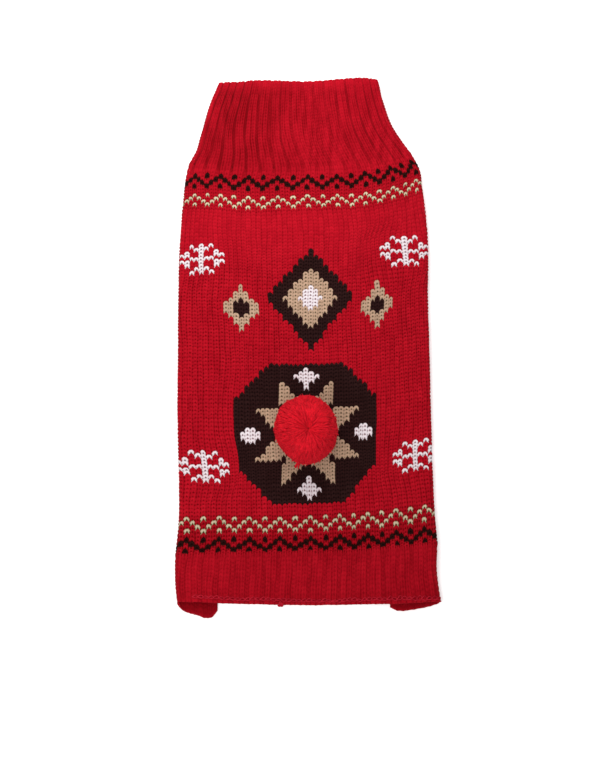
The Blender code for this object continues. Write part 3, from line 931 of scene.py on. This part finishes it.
def back_chart(column, row):
    """Index in YARNS of each stitch of the back panel."""
    yarns = np.zeros(column.shape, int)
    paint_medallion(yarns, column, row)
    paint_diamonds(yarns, column, row)
    paint_bands(yarns, column, row)
    paint_snowflakes(yarns, column, row)
    return yarns


def plain_chart(column, row):
    return np.zeros(column.shape, int)


# ---- Materials ----


def math_node(operation, swapped=False):
    """A method of Output: it adds the node of an operation on it and a number or an Output."""

    def method(self, other=0.0):
        first, second = (other, self) if swapped else (self, other)
        return self.nodes.add("Math", {0: first, 1: second}, operation=operation)

    return method


class Output:
    """What one node gives: what is worked out with it becomes further nodes."""

    def __init__(self, nodes, socket):
        self.nodes = nodes
        self.socket = socket

    __add__ = math_node("ADD")
    __sub__ = math_node("SUBTRACT")
    __rsub__ = math_node("SUBTRACT", swapped=True)
    __mul__ = math_node("MULTIPLY")
    __pow__ = math_node("POWER")
    maximum = math_node("MAXIMUM")
    absolute = math_node("ABSOLUTE")
    floor = math_node("FLOOR")
    fraction = math_node("FRACT")
    sine = math_node("SINE")
    cosine = math_node("COSINE")

    def limited(self):
        return self.nodes.add("Clamp", {"Value": self})

    def ramp(self, first, last, at_first, at_last):
        """A smooth change from at_first to at_last while this goes from first to last."""
        inputs = dict(enumerate((self, first, last, at_first, at_last)))
        return self.nodes.add("MapRange", inputs, interpolation_type="SMOOTHSTEP")


class Nodes:
    """Short ways to add and link the nodes of one material."""

    def __init__(self, name):
        self.material = bpy.data.materials.new(name)
        self.material.use_nodes = True
        self.tree = self.material.node_tree
        self.shader = self.tree.nodes["Principled BSDF"]

    def feed(self, socket, value):
        """Links an output to a socket, or sets the socket to a constant."""
        if isinstance(value, Output):
            self.tree.links.new(value.socket, socket)
        else:
            socket.default_value = value

    def add(self, kind, inputs, output=0, **settings):
        node = self.tree.nodes.new("ShaderNode" + kind)
        for key, value in settings.items():
            setattr(node, key, value)
        for key, value in inputs.items():
            self.feed(node.inputs[key], value)
        return Output(self, node.outputs[output])

    def noise(self, scale, detail=2.0, stretch=1.0):
        """Noise in lumps of 1 / scale metres, drawn out lengthwise by stretch."""
        place = self.add("TexCoord", {}, "Object")
        place = self.add("Mapping", {"Vector": place, "Scale": (1.0, 1.0 / stretch, 1.0)})
        return self.add("TexNoise", {"Vector": place, "Scale": scale, "Detail": detail}, "Fac")

    def mix(self, share, first, second):
        inputs = {"Factor": share, "A": first, "B": second}
        return self.add("Mix", inputs, "Result", data_type="RGBA")


def shade(colour, by, painted_sheen):
    """A colour made lighter or darker, with painted sheen over it."""
    return tuple(min(1.0, c * by + painted_sheen) for c in colour) + (1.0,)


PAINTED_SHEEN = 0.3  # share of a yarn's sheen that is painted into the colour of its lightest fibres

# colour: of the yarn in the light. deep: its colour in the gaps between stitches, painted shade.
# gap: how fast it gets there, per millimetre. uneven: how much single stitches differ. fuzz:
# its sheen, part of which is also painted into the colour of its lightest fibres as painted
# sheen. hole: how dark the painted shade in the holes between its legs is. line: the same for
# the lines between columns.
Yarn = namedtuple("Yarn", "name colour deep gap uneven fuzz hole line")
YARN_FINISHES = [
    Yarn("red", (0.52, 0.0035, 0.0150), (0.160, 0.0003, 0.0020), 0.40, 0.36, 0.012, 0.58, 0.20),
    Yarn("black", (0.021, 0.0030, 0.0020), (0.008, 0.0010, 0.0006), 0.8, 0.3, 0.01, 0.8, 0.0),
    Yarn("cream", (0.73, 0.61, 0.415), (0.07, 0.05, 0.012), 0.85, 0.3, 0.04, 0.95, 0.0),
    Yarn("white", (1.0, 0.80, 0.84), (0.22, 0.11, 0.12), 0.46, 0.10, 0.04, 0.8, 0.0),
    Yarn("brown", (0.0270, 0.0078, 0.0072), (0.007, 0.0015, 0.0015), 0.8, 0.40, 0.01, 0.7, 0.0),
    Yarn("tan", (0.54, 0.345, 0.235), (0.11, 0.080, 0.040), 0.35, 0.3, 0.04, 0.85, 0.0),
]
YARNS = [yarn.name for yarn in YARN_FINISHES]
EDGE_YARN = Yarn("edge", (0.41, 0.0055, 0.0190), (0.16, 0.0008, 0.003), 1.0, 0.8, 0.02, 0.0, 0.0)
POMPOM_YARN = Yarn("pompom", (0.80, 0.0080, 0.0230), (0.42, 0.0015, 0.0060), 0.22, 0.8, 0.02, 0.0, 0.0)
# Painted shade on the red yarn, as how much darker than its colour it looks: in the collar,
# and how much more on the collar's left; below the body's upper part; in the hem; and in the
# bands, each with the rows over which that sets in.
NECK_SHADOWS = (0.10, 0.20)
BODY_SHADOW = 0.06
HEM_SHADOW = 0.23
BAND_SHADOWS = [(0.5, 3.0, 0.16), (97.0, 99.0, 0.26)]
BAND_SHADOW_ROWS = 11.5  # how many rows each of those is long
LOW_BAND_SHADOW = 0.12  # the same for the other yarns in the lower bands
BAND_HOLE = 0.35  # how dark the painted shade in the red yarn's holes is in the bands
RIB_LINE = 0.27  # how dark the painted shade in the lines between the legs of rib is
RIB_HOLE = 0.08
HEM_LINES = 0.65  # how strong those lines are at the hem
# The rows over which all these set in or fade.
COLLAR_EDGE_ROWS = (-27.0, -22.0)
NECK_SHADOW_ROWS = (-1.0, 5.0)
NECK_ROWS = (0.0, 3.0)
FAINT_SHADE_ROWS = (14.0, 40.0)  # above these the holes and lines get less painted shade
BODY_SHADOW_ROWS = (20.0, 34.0)
LOW_BAND_ROWS = (96.0, 98.0)
HEM_ROWS = (106.0, 109.0)
HEM_CHAIN_ROWS = (118.4, 119.2)
NOISE_MIDDLE = (0.34, 0.66)  # where most of a noise's values lie


def spot(across, down, size, reach):
    """1 in the middle of an oval of half sizes `size`, falling to 0 a little outside it."""
    away = (across * (1 / size[0])) ** 2.0 + (down * (1 / size[1])) ** 2.0
    return (reach - away).limited()


def from_hole(row, hole_row):
    """Courses from the nearest hole, from -0.5 to 0.5."""
    return (row + (0.5 - hole_row)).fraction() - 0.5


def holes(column, row, at_tips, at_edges):
    """The holes of plain knit: those between a stitch's legs and those between two columns."""
    from_middle = column.fraction() - 0.5
    from_edge = from_middle.absolute() - 0.5
    tip = spot(from_middle, from_hole(row, TIP_HOLE_ROW), (0.17, 0.24), 1.5)
    edge = spot(from_edge, from_hole(row, EDGE_HOLE_ROW), (0.13, 0.26), 1.2)
    return (tip * at_tips).maximum(edge * at_edges)


def between_columns(column, at_tips):
    """1 on the lines between two columns, at_tips on those between a stitch's legs."""
    wave = (column * (2 * math.pi)).cosine() * 0.5 + 0.5
    return (1.0 - wave) ** 3.0 * at_tips + wave**2.0


def openings(n, yarn, column, row, depth):
    """How dark the painted shade in the holes and the lines between its stitches makes a yarn.

    The red one's change where rib sets in at the neck and at the hem, and it gets more painted
    shade at the neck, below the body's upper part, in the hem and in the bands. In its upper part
    the painted shade of its holes and lines is weaker, and no two of its stitches are alike.
    """
    if yarn.line == 0:
        in_low_bands = row.ramp(*LOW_BAND_ROWS, 0.0, LOW_BAND_SHADOW)
        return holes(column, row, 1.0, 0.7) * yarn.hole + in_low_bands
    dark = holes(column, row, 0.75, 1.0) * yarn.hole * row.ramp(*FAINT_SHADE_ROWS, 0.28, 1.0)
    dark = dark * n.noise(300.0).ramp(*NOISE_MIDDLE, 0.5, 1.5)
    lines = n.noise(240.0, stretch=6.0).ramp(*NOISE_MIDDLE, 0.3, 1.7)
    line = between_columns(column, 0.4) * yarn.line * lines * row.ramp(*FAINT_SHADE_ROWS, 0.7, 1.0)
    plain = dark + line + row.ramp(*BODY_SHADOW_ROWS, 0.0, BODY_SHADOW)
    for start, full, shadow in BAND_SHADOWS:
        in_band = row.ramp(start, full, 0.0, 1.0)
        in_band = in_band * row.ramp(start + BAND_SHADOW_ROWS, full + BAND_SHADOW_ROWS, 1.0, 0.0)
        plain = in_band * (holes(column, row, 1.0, 0.3) * BAND_HOLE + shadow) + plain
    # Painted shade at the neck, more on the collar's left, and in the hem.
    on_left = column.ramp(1.0, 5.0, 0.0, 1.0) * column.ramp(14.0, 36.0, 1.0, 0.0)
    at_neck = (on_left * NECK_SHADOWS[1] + NECK_SHADOWS[0]) * row.ramp(*NECK_SHADOW_ROWS, 1.0, 0.0)
    in_hem = row.ramp(*HEM_ROWS, 0.0, 1.0)
    in_rib = between_columns(column, 0.9) * RIB_LINE * lines
    in_rib = in_rib * row.ramp(*HEM_ROWS, 1.0, HEM_LINES) * row.ramp(*HEM_CHAIN_ROWS, 1.0, 0.2)
    in_rib = in_rib * depth.ramp(0.6, 1.0, 1.0, 0.2) + at_neck + in_hem * HEM_SHADOW
    in_rib = holes(column, row, 1.0, 1.0) * RIB_HOLE + in_rib
    in_rib = in_rib * row.ramp(*COLLAR_EDGE_ROWS, 0.0, 1.0)
    rib = row.ramp(*NECK_ROWS, 1.0, 0.0).maximum(in_hem)
    return in_rib * rib + plain * (1.0 - rib)


def yarn_material(yarn, ply_turns):
    """Acrylic yarn: twisted plies, fibres, uneven stitches, and painted shade between them.

    The attribute called stitch gives the column and the row, or the strand and the place
    along it, and the depth under the surface in millimetres, as it looks, which sets the painted
    shade.
    """
    n = Nodes("yarn_" + yarn.name)
    stitch = n.add("Attribute", {}, "Vector", attribute_name="stitch")
    column, row, depth = (n.add("SeparateXYZ", {0: stitch}, axis) for axis in range(3))

    # The plies cross a leg at a slant: two turns along it, one turn across it.
    ply = ((column * ply_turns + row) * (2 * math.pi)).sine() * 0.5 + 0.5
    fibres = n.noise(1400.0, 3.0)
    whole = n.add("CombineXYZ", {0: column.floor(), 1: row.floor()})
    single = n.add("TexWhiteNoise", {"Vector": whole}, noise_dimensions="2D")
    light = (single - 0.5) * yarn.uneven + 0.5
    patches, streaks = n.noise(38.0, 1.0), n.noise(280.0, 1.0, 9.0)
    for part, share in ((fibres, 0.8), (patches, 0.7), (streaks, 0.7), (ply, 0.16)):
        light = (part - 0.5) * share + light

    # The lightest fibres' colour has painted sheen over it.
    dull, bright = shade(yarn.colour, 0.80, 0.0), shade(yarn.colour, 1.20, yarn.fuzz * PAINTED_SHEEN)
    lit = n.mix(light.limited(), dull, bright)
    # Painted shade: the deeper a place looks, and the darker its holes and lines, the nearer its
    # colour comes to deep.
    gap = depth * yarn.gap
    if yarn.hole > 0:
        gap = gap + openings(n, yarn, column, row, depth)
    plied = n.add("Bump", {"Height": ply, "Distance": 0.00014})
    n.feed(n.shader.inputs["Base Color"], n.mix(gap.limited(), lit, (*yarn.deep, 1.0)))
    n.feed(n.shader.inputs["Roughness"], fibres * 0.2 + 0.78)
    n.feed(
        n.shader.inputs["Normal"],
        n.add("Bump", {"Height": fibres, "Distance": 0.00022, "Normal": plied}),
    )
    n.shader.inputs["Metallic"].default_value = 0.0
    n.shader.inputs["Specular IOR Level"].default_value = 0.04
    n.shader.inputs["Sheen Weight"].default_value = yarn.fuzz
    n.shader.inputs["Sheen Roughness"].default_value = 0.5
    return n.material


# ---- Pieces ----

# wall(column, row): the middle of its wall. columns and rows: its ends. flat_rows: its edges
# where no arrowheads stick out. round_rows: its open edges, which are rounded. cut: its flat
# width and length in metres, and the share of that rectangle that is cloth. closed: a tube.
# round_sides_from: the row from which its sides are open too.
Cloth = namedtuple(
    "Cloth",
    "name slot wall thickness columns rows rib flat_rows round_rows cut closed rests_on "
    "round_sides_from",
    defaults=(False, ("floor",), None),
)
BACK_COLUMNS = (FIRST_COLUMN, LAST_COLUMN)
UNDER_BODY = (LAST_COLUMN, LAST_COLUMN + BELLY_COLUMNS)
CHARTS = {"back_panel": back_chart, "belly_panel": plain_chart}
CLOTHS = [
    Cloth(
        "back_panel", "red_knit", back_wall, PANEL_WALL, BACK_COLUMNS, (0, HEM_ROW),
        COLLAR_RIB, (), (), (0.280, 0.316, 0.96), rests_on=("belly_panel", "floor"),
    ),
    Cloth(
        "belly_panel", "red_knit", belly_wall, PANEL_WALL, UNDER_BODY, (0, BELLY_HEM_ROW),
        None, (), (), (0.133, 0.273, 0.91),
    ),
    Cloth(
        "back_hem_rib", "red_rib", back_wall, PANEL_WALL, BACK_COLUMNS, (HEM_ROW, HEM_EDGE_ROW),
        HEM_RIB, (HEM_EDGE_ROW,), (HEM_EDGE_ROW,), (0.280, 0.036, 1.0),
        round_sides_from=BELLY_EDGE_ROW,
    ),
    Cloth(
        "belly_hem_rib", "red_rib", belly_wall, PANEL_WALL, UNDER_BODY,
        (BELLY_HEM_ROW, BELLY_EDGE_ROW), BELLY_RIB, (BELLY_EDGE_ROW,), (BELLY_EDGE_ROW,),
        (0.133, 0.030, 1.0),
    ),
    Cloth(
        "collar", "red_rib", collar_wall, COLLAR_WALL, (0, COLLAR_COLUMNS), (COLLAR_TOP_ROW, 0),
        COLLAR_RIB, (COLLAR_TOP_ROW,), (COLLAR_TOP_ROW,), (0.360, 0.078, 0.88), closed=True,
    ),
] + [
    Cloth(
        name, "red_rib", cuff_wall(side), CUFF_WALL, (0, CUFF_COLUMNS), (0, CUFF_ROWS),
        CUFF_RIB, (0, CUFF_ROWS), (CUFF_ROWS,), (0.211, 0.011, 0.85), closed=True,
    )
    for name, side in (("leg_cuff_left", -1), ("leg_cuff_right", 1))
]


def declare(piece, node):
    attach(piece, "root")
    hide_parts(node)


def carry_stitches(before, after):
    """Gives a cut mesh the stitch attribute of the whole one, point by nearest point."""
    stitches = np.zeros((len(before.vertices), 3), np.float32)
    before.attributes["stitch"].data.foreach_get("vector", stitches.ravel())
    tree = KDTree(len(before.vertices))
    for vertex in before.vertices:
        tree.insert(vertex.co, vertex.index)
    tree.balance()
    nearest = [tree.find(vertex.co)[1] for vertex in after.vertices]
    after.attributes["stitch"].data.foreach_set("vector", stitches[nearest].ravel())


CUTTER_BELOW = 1.0  # how far the leg holes' cutter passes the wall on both sides
CUTTER_ABOVE = 0.4


def cut_leg_holes(piece):
    """Cuts both leg holes into a piece of the underside, as wide as their cuffs."""
    depth = PANEL_WALL + CUTTER_BELOW + CUTTER_ABOVE
    half = (LEG_HOLE_HALF[0] + CUFF_BAND, LEG_HOLE_HALF[1] + CUFF_BAND, depth)
    for side in (-1, 1):
        bpy.ops.mesh.primitive_cylinder_add(vertices=72, radius=1.0, depth=1.0)
        cutter = bpy.context.object
        for vertex in cutter.data.vertices:
            vertex.co *= Vector(half) * MM
        x, y = LEG_HOLE_CENTRE
        cutter.location = to_world((side * x, y, depth / 2 - CUTTER_BELOW))
        hole = piece.modifiers.new("leg_hole", "BOOLEAN")
        hole.operation = "DIFFERENCE"
        hole.object = cutter
        graph = bpy.context.evaluated_depsgraph_get()
        cut_mesh = bpy.data.meshes.new_from_object(piece.evaluated_get(graph))
        piece.modifiers.clear()
        carry_stitches(piece.data, cut_mesh)
        cut_mesh.set_sharp_from_angle(angle=CRISP_ANGLE)
        piece.data = cut_mesh
        bpy.data.objects.remove(cutter)


def make_cloth(cloth, yarns):
    if cloth.name in CHARTS:
        piece = knit_outside(cloth, yarns, CHARTS[cloth.name])
        cut_leg_holes(piece)
    else:
        piece = knit_both_sides(cloth, yarns[0])
    declare(piece, cloth.name)


# ---- Strands of yarn ----


def add_strands(surface, paths, radii, ups, sides, numbers, turns, depths, box):
    """Adds round tapered tubes along paths (strand, step, 3), closed at both ends.

    Their stitches are the strand's number, the place along it, which ends at turns, and the
    depth. Each strand has its own small cell in a box of the flat map.
    """
    count, steps = paths.shape[:2]
    tangent = unit(np.gradient(paths, axis=1))
    sideways = unit(np.cross(tangent, np.broadcast_to(ups, paths.shape)))
    upward = unit(np.cross(sideways, tangent))
    angle = np.arange(sides) / sides * 2 * math.pi
    circle = np.stack((np.cos(angle), np.sin(angle)), -1)
    ring = sideways[:, :, None] * circle[:, :1] + upward[:, :, None] * circle[:, 1:]
    radii = np.broadcast_to(radii, (count, steps))
    points = paths[:, :, None] + ring * radii[:, :, None, None]
    depths = np.broadcast_to(depths, (count, steps))

    left, bottom, right, top = box
    across = math.ceil(math.sqrt(count))
    cell = np.array([(right - left) / across, (top - bottom) / math.ceil(count / across)])
    for n in range(count):
        along = np.linspace(0.02, turns, steps)
        stitches = np.stack((np.full(steps, numbers[n]), along, depths[n]), -1)
        tube = surface.add_points(points[n], stitches[:, None])
        corner = (left, bottom) + (n % across, n // across) * cell
        far = corner + (0.9, 0.7) * cell
        surface.add_grid(tube, True, (corner[0], far[1], far[0], corner[1]), OUTWARD)
        surface.add_faces(tube[:1], corner + (0.1 * circle + (0.2, 0.85)) * cell)
        surface.add_faces(tube[-1:, ::-1], corner + (0.1 * circle[::-1] + (0.6, 0.85)) * cell)


# ---- The hem's bound-off edge ----

CHAIN_ROWS = [(0, 118.6), (14, 118.8), (30, 119.0), (44, 118.9), (52, 119.4)]  # column, row
CHAIN_COLUMNS = (3.0, 51.2)
CHAIN_LINK = 1.0  # columns
CHAIN_RADIUS = 0.44
CHAIN_SPREAD = (-0.46, 0.20)  # courses above and below it
KNOT_PLACE = (-18.0, -0.2, 2.3)
KNOT_SCALE = 0.58
KNOT_RADIUS = 0.80
KNOT_NUMBER = 500
CHAIN_BOX = (0.01, 0.2, 0.99, 0.99)
KNOT_BOX = (0.01, 0.01, 0.99, 0.18)


def add_chain(surface):
    """A row of chain stitches along the back hem: each link starts on top of the last one."""
    starts = np.arange(*CHAIN_COLUMNS, CHAIN_LINK)
    along_link = np.linspace(0.0, 1.0, 7)
    bulge = np.sin(math.pi * along_link**1.5)
    column = starts[:, None] + along_link * CHAIN_LINK * 1.3
    paths, ups = [], []
    for spread in CHAIN_SPREAD:
        row = np.interp(column, *np.transpose(CHAIN_ROWS)) + 0.8 * hem_hang(column)
        row = row + 0.18 * value_noise(column, 0 * column, (1, 1), 21)
        row = row + spread * bulge * (1 + 0.4 * value_noise(column, 0 * column, (1, 1), 22))
        here, out, _, _ = frame_at(back_wall, column, row)
        lift = PANEL_WALL / 2 - 0.12 - 0.40 * along_link + 0.25 * bulge
        paths.append(here + out * lift[:, None])
        ups.append(out)
    paths, ups = np.concatenate(paths), np.concatenate(ups)
    numbers = np.arange(len(paths))
    add_strands(surface, paths, CHAIN_RADIUS, ups, 6, numbers, 2.0, 0.0, CHAIN_BOX)


def add_knot(surface):
    """The knot that ends the bound-off edge: one loop through itself."""
    turn = np.linspace(0.0, 2 * math.pi, 41)
    x = np.sin(turn) + 2 * np.sin(2 * turn)
    y = 2 * np.cos(2 * turn) - np.cos(turn)
    path = KNOT_PLACE + np.stack((x, y, np.sin(3 * turn)), -1) * KNOT_SCALE
    up = (0.0, 0.05, 1.0)
    add_strands(surface, path[None], KNOT_RADIUS, up, 6, [KNOT_NUMBER], 12.0, 0.0, KNOT_BOX)


def make_bind_off(yarn):
    surface = Surface()
    add_chain(surface)
    add_knot(surface)
    piece = surface.make("hem_bind_off", [yarn], crisp=False)
    declare(piece, "back_hem_rib")
    return piece


# ---- Pompom ----

POMPOM_CENTRE = (1.3, 131.6)
POMPOM_HALF = np.array([24.8, 27.0, 21.5])
POMPOM_TUFTS = 46
POMPOM_STRANDS = 3500
DIMPLE_DEPTH = 3.7
DIMPLE_LEAN = np.array([0.10, -0.07, 0.0])  # how far it lies from the middle
DIMPLE_RADIUS = 7.5
TUFT_SIZES = (-0.035, 0.020)  # how far single tufts stand out, as shares of its half size
CLEFT_HALF = 0.045  # half width of the clefts between them
CLEFT_DEPTH = 0.03
FLAT_ANGLE = math.radians(-140)  # one of its sides is a little flat
FLAT_HALF = 0.5
FLAT_DEPTH = 0.07
EVEN_SIZE = 0.985
CORE_PROUD = -0.9
# CORE_STITCH: the core's number, place and how deep it looks, for its painted shade
CORE_STITCH = (9000, 0.5, 0.6)
FIBRE_RADII = (0.30, 0.36, 0.36, 0.33, 0.27, 0.14)  # from one end to the other
# Angles from the dimple: of the last fibre's start and of the last one's end. Those that start
# before INNER_START are longer.
LAST_START = math.radians(112)
LAST_END = math.radians(132)
INNER_START = 0.5
FIBRE_SPANS = (30.0, 21.0)  # degrees
STRAY_SHARE = 0.035
STRAY_LIFT = 1.5
TIE_ENDS = 16  # fibres in the two cut ends of its tie
TIE_PLACES = [(-7.0, 104.6, 10.2), (-4.6, 104.0, 10.4)]
TIE_RADII = (0.4, 0.4, 0.42, 0.45, 0.42, 0.3)
TIE_NUMBER = 9100  # of its first fibre
CORE_BOX = (0.01, 0.01, 0.6, 0.09)
FIBRE_BOX = (0.01, 0.1, 0.99, 0.94)
TIE_BOX = (0.01, 0.95, 0.99, 0.99)


def pompom_surface(direction, proud, seat, top):
    """Places proud of the yarn ball's lumpy surface, in directions from its dimple."""
    direction = unit(direction + DIMPLE_LEAN * (1 + direction[..., 2:]) / 2)
    random = np.random.default_rng(31)
    tufts = unit(random.normal(size=(POMPOM_TUFTS, 3)))
    sizes = random.uniform(*TUFT_SIZES, POMPOM_TUFTS)
    nearness = direction @ tufts.T
    order = np.sort(nearness, axis=-1)
    cleft = np.exp(-(((order[..., -1] - order[..., -2]) / CLEFT_HALF) ** 2))
    size = sizes[np.argmax(nearness, axis=-1)] * (1 - cleft)
    azimuth = np.arctan2(direction[..., 1], direction[..., 0])
    off_flat = (azimuth - FLAT_ANGLE + math.pi) % (2 * math.pi) - math.pi
    flat_side = FLAT_DEPTH * np.exp(-((off_flat / FLAT_HALF) ** 2)) * (1 - direction[..., 2] ** 2)
    scale = EVEN_SIZE + size - CLEFT_DEPTH * cleft - flat_side + proud / POMPOM_HALF[0]
    place = direction * POMPOM_HALF * scale[..., None]
    off_dimple = place[..., :2] - POMPOM_HALF[2] * DIMPLE_LEAN[:2]
    reach = np.linalg.norm(off_dimple, axis=-1)
    dimple = DIMPLE_DEPTH * np.exp(-((reach / DIMPLE_RADIUS) ** 2)) * (direction[..., 2] > 0)
    middle = np.array([*POMPOM_CENTRE, top - POMPOM_HALF[2]])
    place = place + middle
    place[..., 2] = np.maximum(place[..., 2] - dimple, seat)
    return place, cleft, dimple


def directions(polar, azimuth):
    across = np.sin(polar)
    return np.stack((across * np.cos(azimuth), across * np.sin(azimuth), np.cos(polar)), -1)


def add_core(surface, seat, top):
    """The pompom's inner ball, which closes the gaps between its strands."""
    polar = np.linspace(0.02, math.pi - 0.02, 30)
    azimuth = np.linspace(0.0, 2 * math.pi, 65)[:-1][::-1]
    a, p = np.meshgrid(azimuth, polar)
    points, _, _ = pompom_surface(directions(p, a), CORE_PROUD, seat, top)
    ball = surface.add_points(points, CORE_STITCH)
    surface.add_grid(ball, True, CORE_BOX, INWARD)
    circle = np.stack((np.cos(azimuth), np.sin(azimuth)), -1) * 0.035
    surface.add_faces(ball[:1], circle + (0.7, 0.05))
    surface.add_faces(ball[-1:, ::-1], circle[::-1] + (0.85, 0.05))


def add_fibres(surface, seat, top):
    """Fine fibres that leave the dimple in the middle and bend over to the rim."""
    random = np.random.default_rng(32)
    count = POMPOM_STRANDS
    share = random.uniform(0.0, 1.0, count)
    start = np.arccos(1 - share * (1 - math.cos(LAST_START)))
    span = np.radians(np.where(start < INNER_START, *FIBRE_SPANS))
    span = span * random.uniform(0.6, 1.25, count)
    t = np.linspace(0.0, 1.0, 6)
    polar = start[:, None] - 0.15 + span[:, None] * t
    polar = np.clip(polar, 0.03, LAST_END)
    sway = random.normal(0.0, 0.10, count)[:, None] * t / np.maximum(np.sin(polar), 0.25)
    azimuth = random.uniform(0.0, 2 * math.pi, count)[:, None] + sway
    stray = random.uniform(0.0, 1.0, count) < STRAY_SHARE
    lift = random.uniform(-0.4, 0.8, count) + STRAY_LIFT * stray
    proud = -1.5 + 1.9 * smooth_step(0.0, 0.55, t) + lift[:, None] * t**2
    outward = directions(polar, azimuth)
    paths, cleft, dimple = pompom_surface(outward, proud, seat + 0.4, top)
    # Painted shade: deeper in the clefts and the dimple, and where a fibre lies under others.
    depths = np.clip(0.15 * cleft + 0.45 * dimple - 0.35 * proud - 0.25, 0.0, 3.0)
    add_strands(surface, paths, FIBRE_RADII, outward, 3, range(count), 5.0, depths, FIBRE_BOX)


def add_tie(surface, top):
    """Two short cut ends of the tie, below the pompom on its left."""
    random = np.random.default_rng(33)
    t = np.linspace(0.0, 1.0, 6)
    start = np.array([-2.5, 110.0, top - POMPOM_HALF[2] - 6.0])
    ends = np.array(TIE_PLACES)[np.arange(TIE_ENDS) % 2][:, None]
    spread = random.normal(0.0, 0.5, (TIE_ENDS, 1, 3)) * t[:, None] * (1, 1, 0.4)
    path = start + (ends - start) * t[:, None] + spread
    path[..., 2] += 2.5 * np.sin(math.pi * t)
    up, numbers = (0.0, 0.0, 1.0), TIE_NUMBER + np.arange(TIE_ENDS)
    # Painted shade, deepest where the ends start under the pompom.
    add_strands(surface, path, TIE_RADII, up, 4, numbers, 5.0, 1.0 - t, TIE_BOX)


def make_pompom(yarn):
    low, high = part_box("pompom")
    seat, top = low[2] / MM, high[2] / MM
    surface = Surface()
    add_core(surface, seat, top)
    add_fibres(surface, seat, top)
    add_tie(surface, top)
    piece = surface.make("pompom_ball", [yarn], crisp=False)
    declare(piece, "pompom")


# ---- Stage ----

CAMERA_TARGET = (-5.36, 177.0, 0.0)  # the garment's place in the middle of the picture
CAMERA_TILT = math.radians(12.0)
CAMERA_DISTANCE = 1.05
CAMERA_LENS = 62.6
FLOOR_HALF = 30.0
FLOOR_HEIGHT = -0.0004
PAPER = (0.92, 0.92, 0.92, 1.0)
WHITE = (1.0, 1.0, 1.0, 1.0)
PAPER_GLOW = 0.38
SKY_LIGHT = 0.50
Lamp = namedtuple("Lamp", "name power size location target")
LAMPS = [
    Lamp("key", 1.10, 0.30, (-0.05, 0.27, 0.30), (0.0, 0.12, 0.0)),
    Lamp("fill", 0.9, 0.30, (-0.14, -0.30, 0.38), (0.0, -0.10, 0.0)),
]


def make_camera():
    camera = bpy.data.objects.new("camera", bpy.data.cameras.new("camera"))
    camera.data.lens = CAMERA_LENS
    away = np.array((0.0, -math.sin(CAMERA_TILT), math.cos(CAMERA_TILT)))
    camera.location = to_world(CAMERA_TARGET) + CAMERA_DISTANCE * away
    camera.rotation_euler = (CAMERA_TILT, 0.0, 0.0)
    bpy.context.scene.collection.objects.link(camera)
    bpy.context.scene.camera = camera


def make_floor():
    """White paper, lit a little from below as on a light table."""
    mesh = bpy.data.meshes.new("floor")
    signs = ((-1, -1), (1, -1), (1, 1), (-1, 1))
    mesh.from_pydata([(x * FLOOR_HALF, y * FLOOR_HALF, 0) for x, y in signs], [], [(0, 1, 2, 3)])
    floor = bpy.data.objects.new("floor", mesh)
    floor.location.z = FLOOR_HEIGHT
    paper = bpy.data.materials.new("paper")
    paper.use_nodes = True
    shader = paper.node_tree.nodes["Principled BSDF"]
    shader.inputs["Base Color"].default_value = PAPER
    shader.inputs["Roughness"].default_value = 0.9
    shader.inputs["Emission Color"].default_value = WHITE
    shader.inputs["Emission Strength"].default_value = PAPER_GLOW
    mesh.materials.append(paper)
    bpy.context.scene.collection.objects.link(floor)


def make_lights():
    world = bpy.data.worlds.new("studio")
    world.use_nodes = True
    world.node_tree.nodes["Background"].inputs["Color"].default_value = WHITE
    world.node_tree.nodes["Background"].inputs["Strength"].default_value = SKY_LIGHT
    bpy.context.scene.world = world
    bpy.context.scene.view_settings.view_transform = "Standard"
    for lamp in LAMPS:
        data = bpy.data.lights.new(lamp.name, "AREA")
        data.energy = lamp.power
        data.size = lamp.size
        light = bpy.data.objects.new(lamp.name, data)
        light.location = lamp.location
        aim = Vector(lamp.target) - Vector(lamp.location)
        light.rotation_euler = aim.to_track_quat("-Z", "Y").to_euler()
        light.visible_camera = False
        bpy.context.scene.collection.objects.link(light)


# ---- The scene ----

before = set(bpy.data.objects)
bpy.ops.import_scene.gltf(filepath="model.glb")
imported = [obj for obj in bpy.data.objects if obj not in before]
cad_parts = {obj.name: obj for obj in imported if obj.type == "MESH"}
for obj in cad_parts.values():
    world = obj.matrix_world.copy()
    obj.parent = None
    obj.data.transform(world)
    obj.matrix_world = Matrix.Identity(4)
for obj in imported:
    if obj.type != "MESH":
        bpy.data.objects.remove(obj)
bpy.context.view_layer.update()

make_camera()
make_floor()
make_lights()

yarns = [yarn_material(yarn, 4.0) for yarn in YARN_FINISHES]
back_panel, belly_panel, back_hem, *others = CLOTHS
make_cloth(back_panel, yarns)
make_cloth(belly_panel, yarns[:1])
bind_off = make_bind_off(yarn_material(EDGE_YARN, 1.0))
make_cloth(back_hem, yarns)
for cloth in others:
    make_cloth(cloth, yarns)
make_pompom(yarn_material(POMPOM_YARN, 0.0))
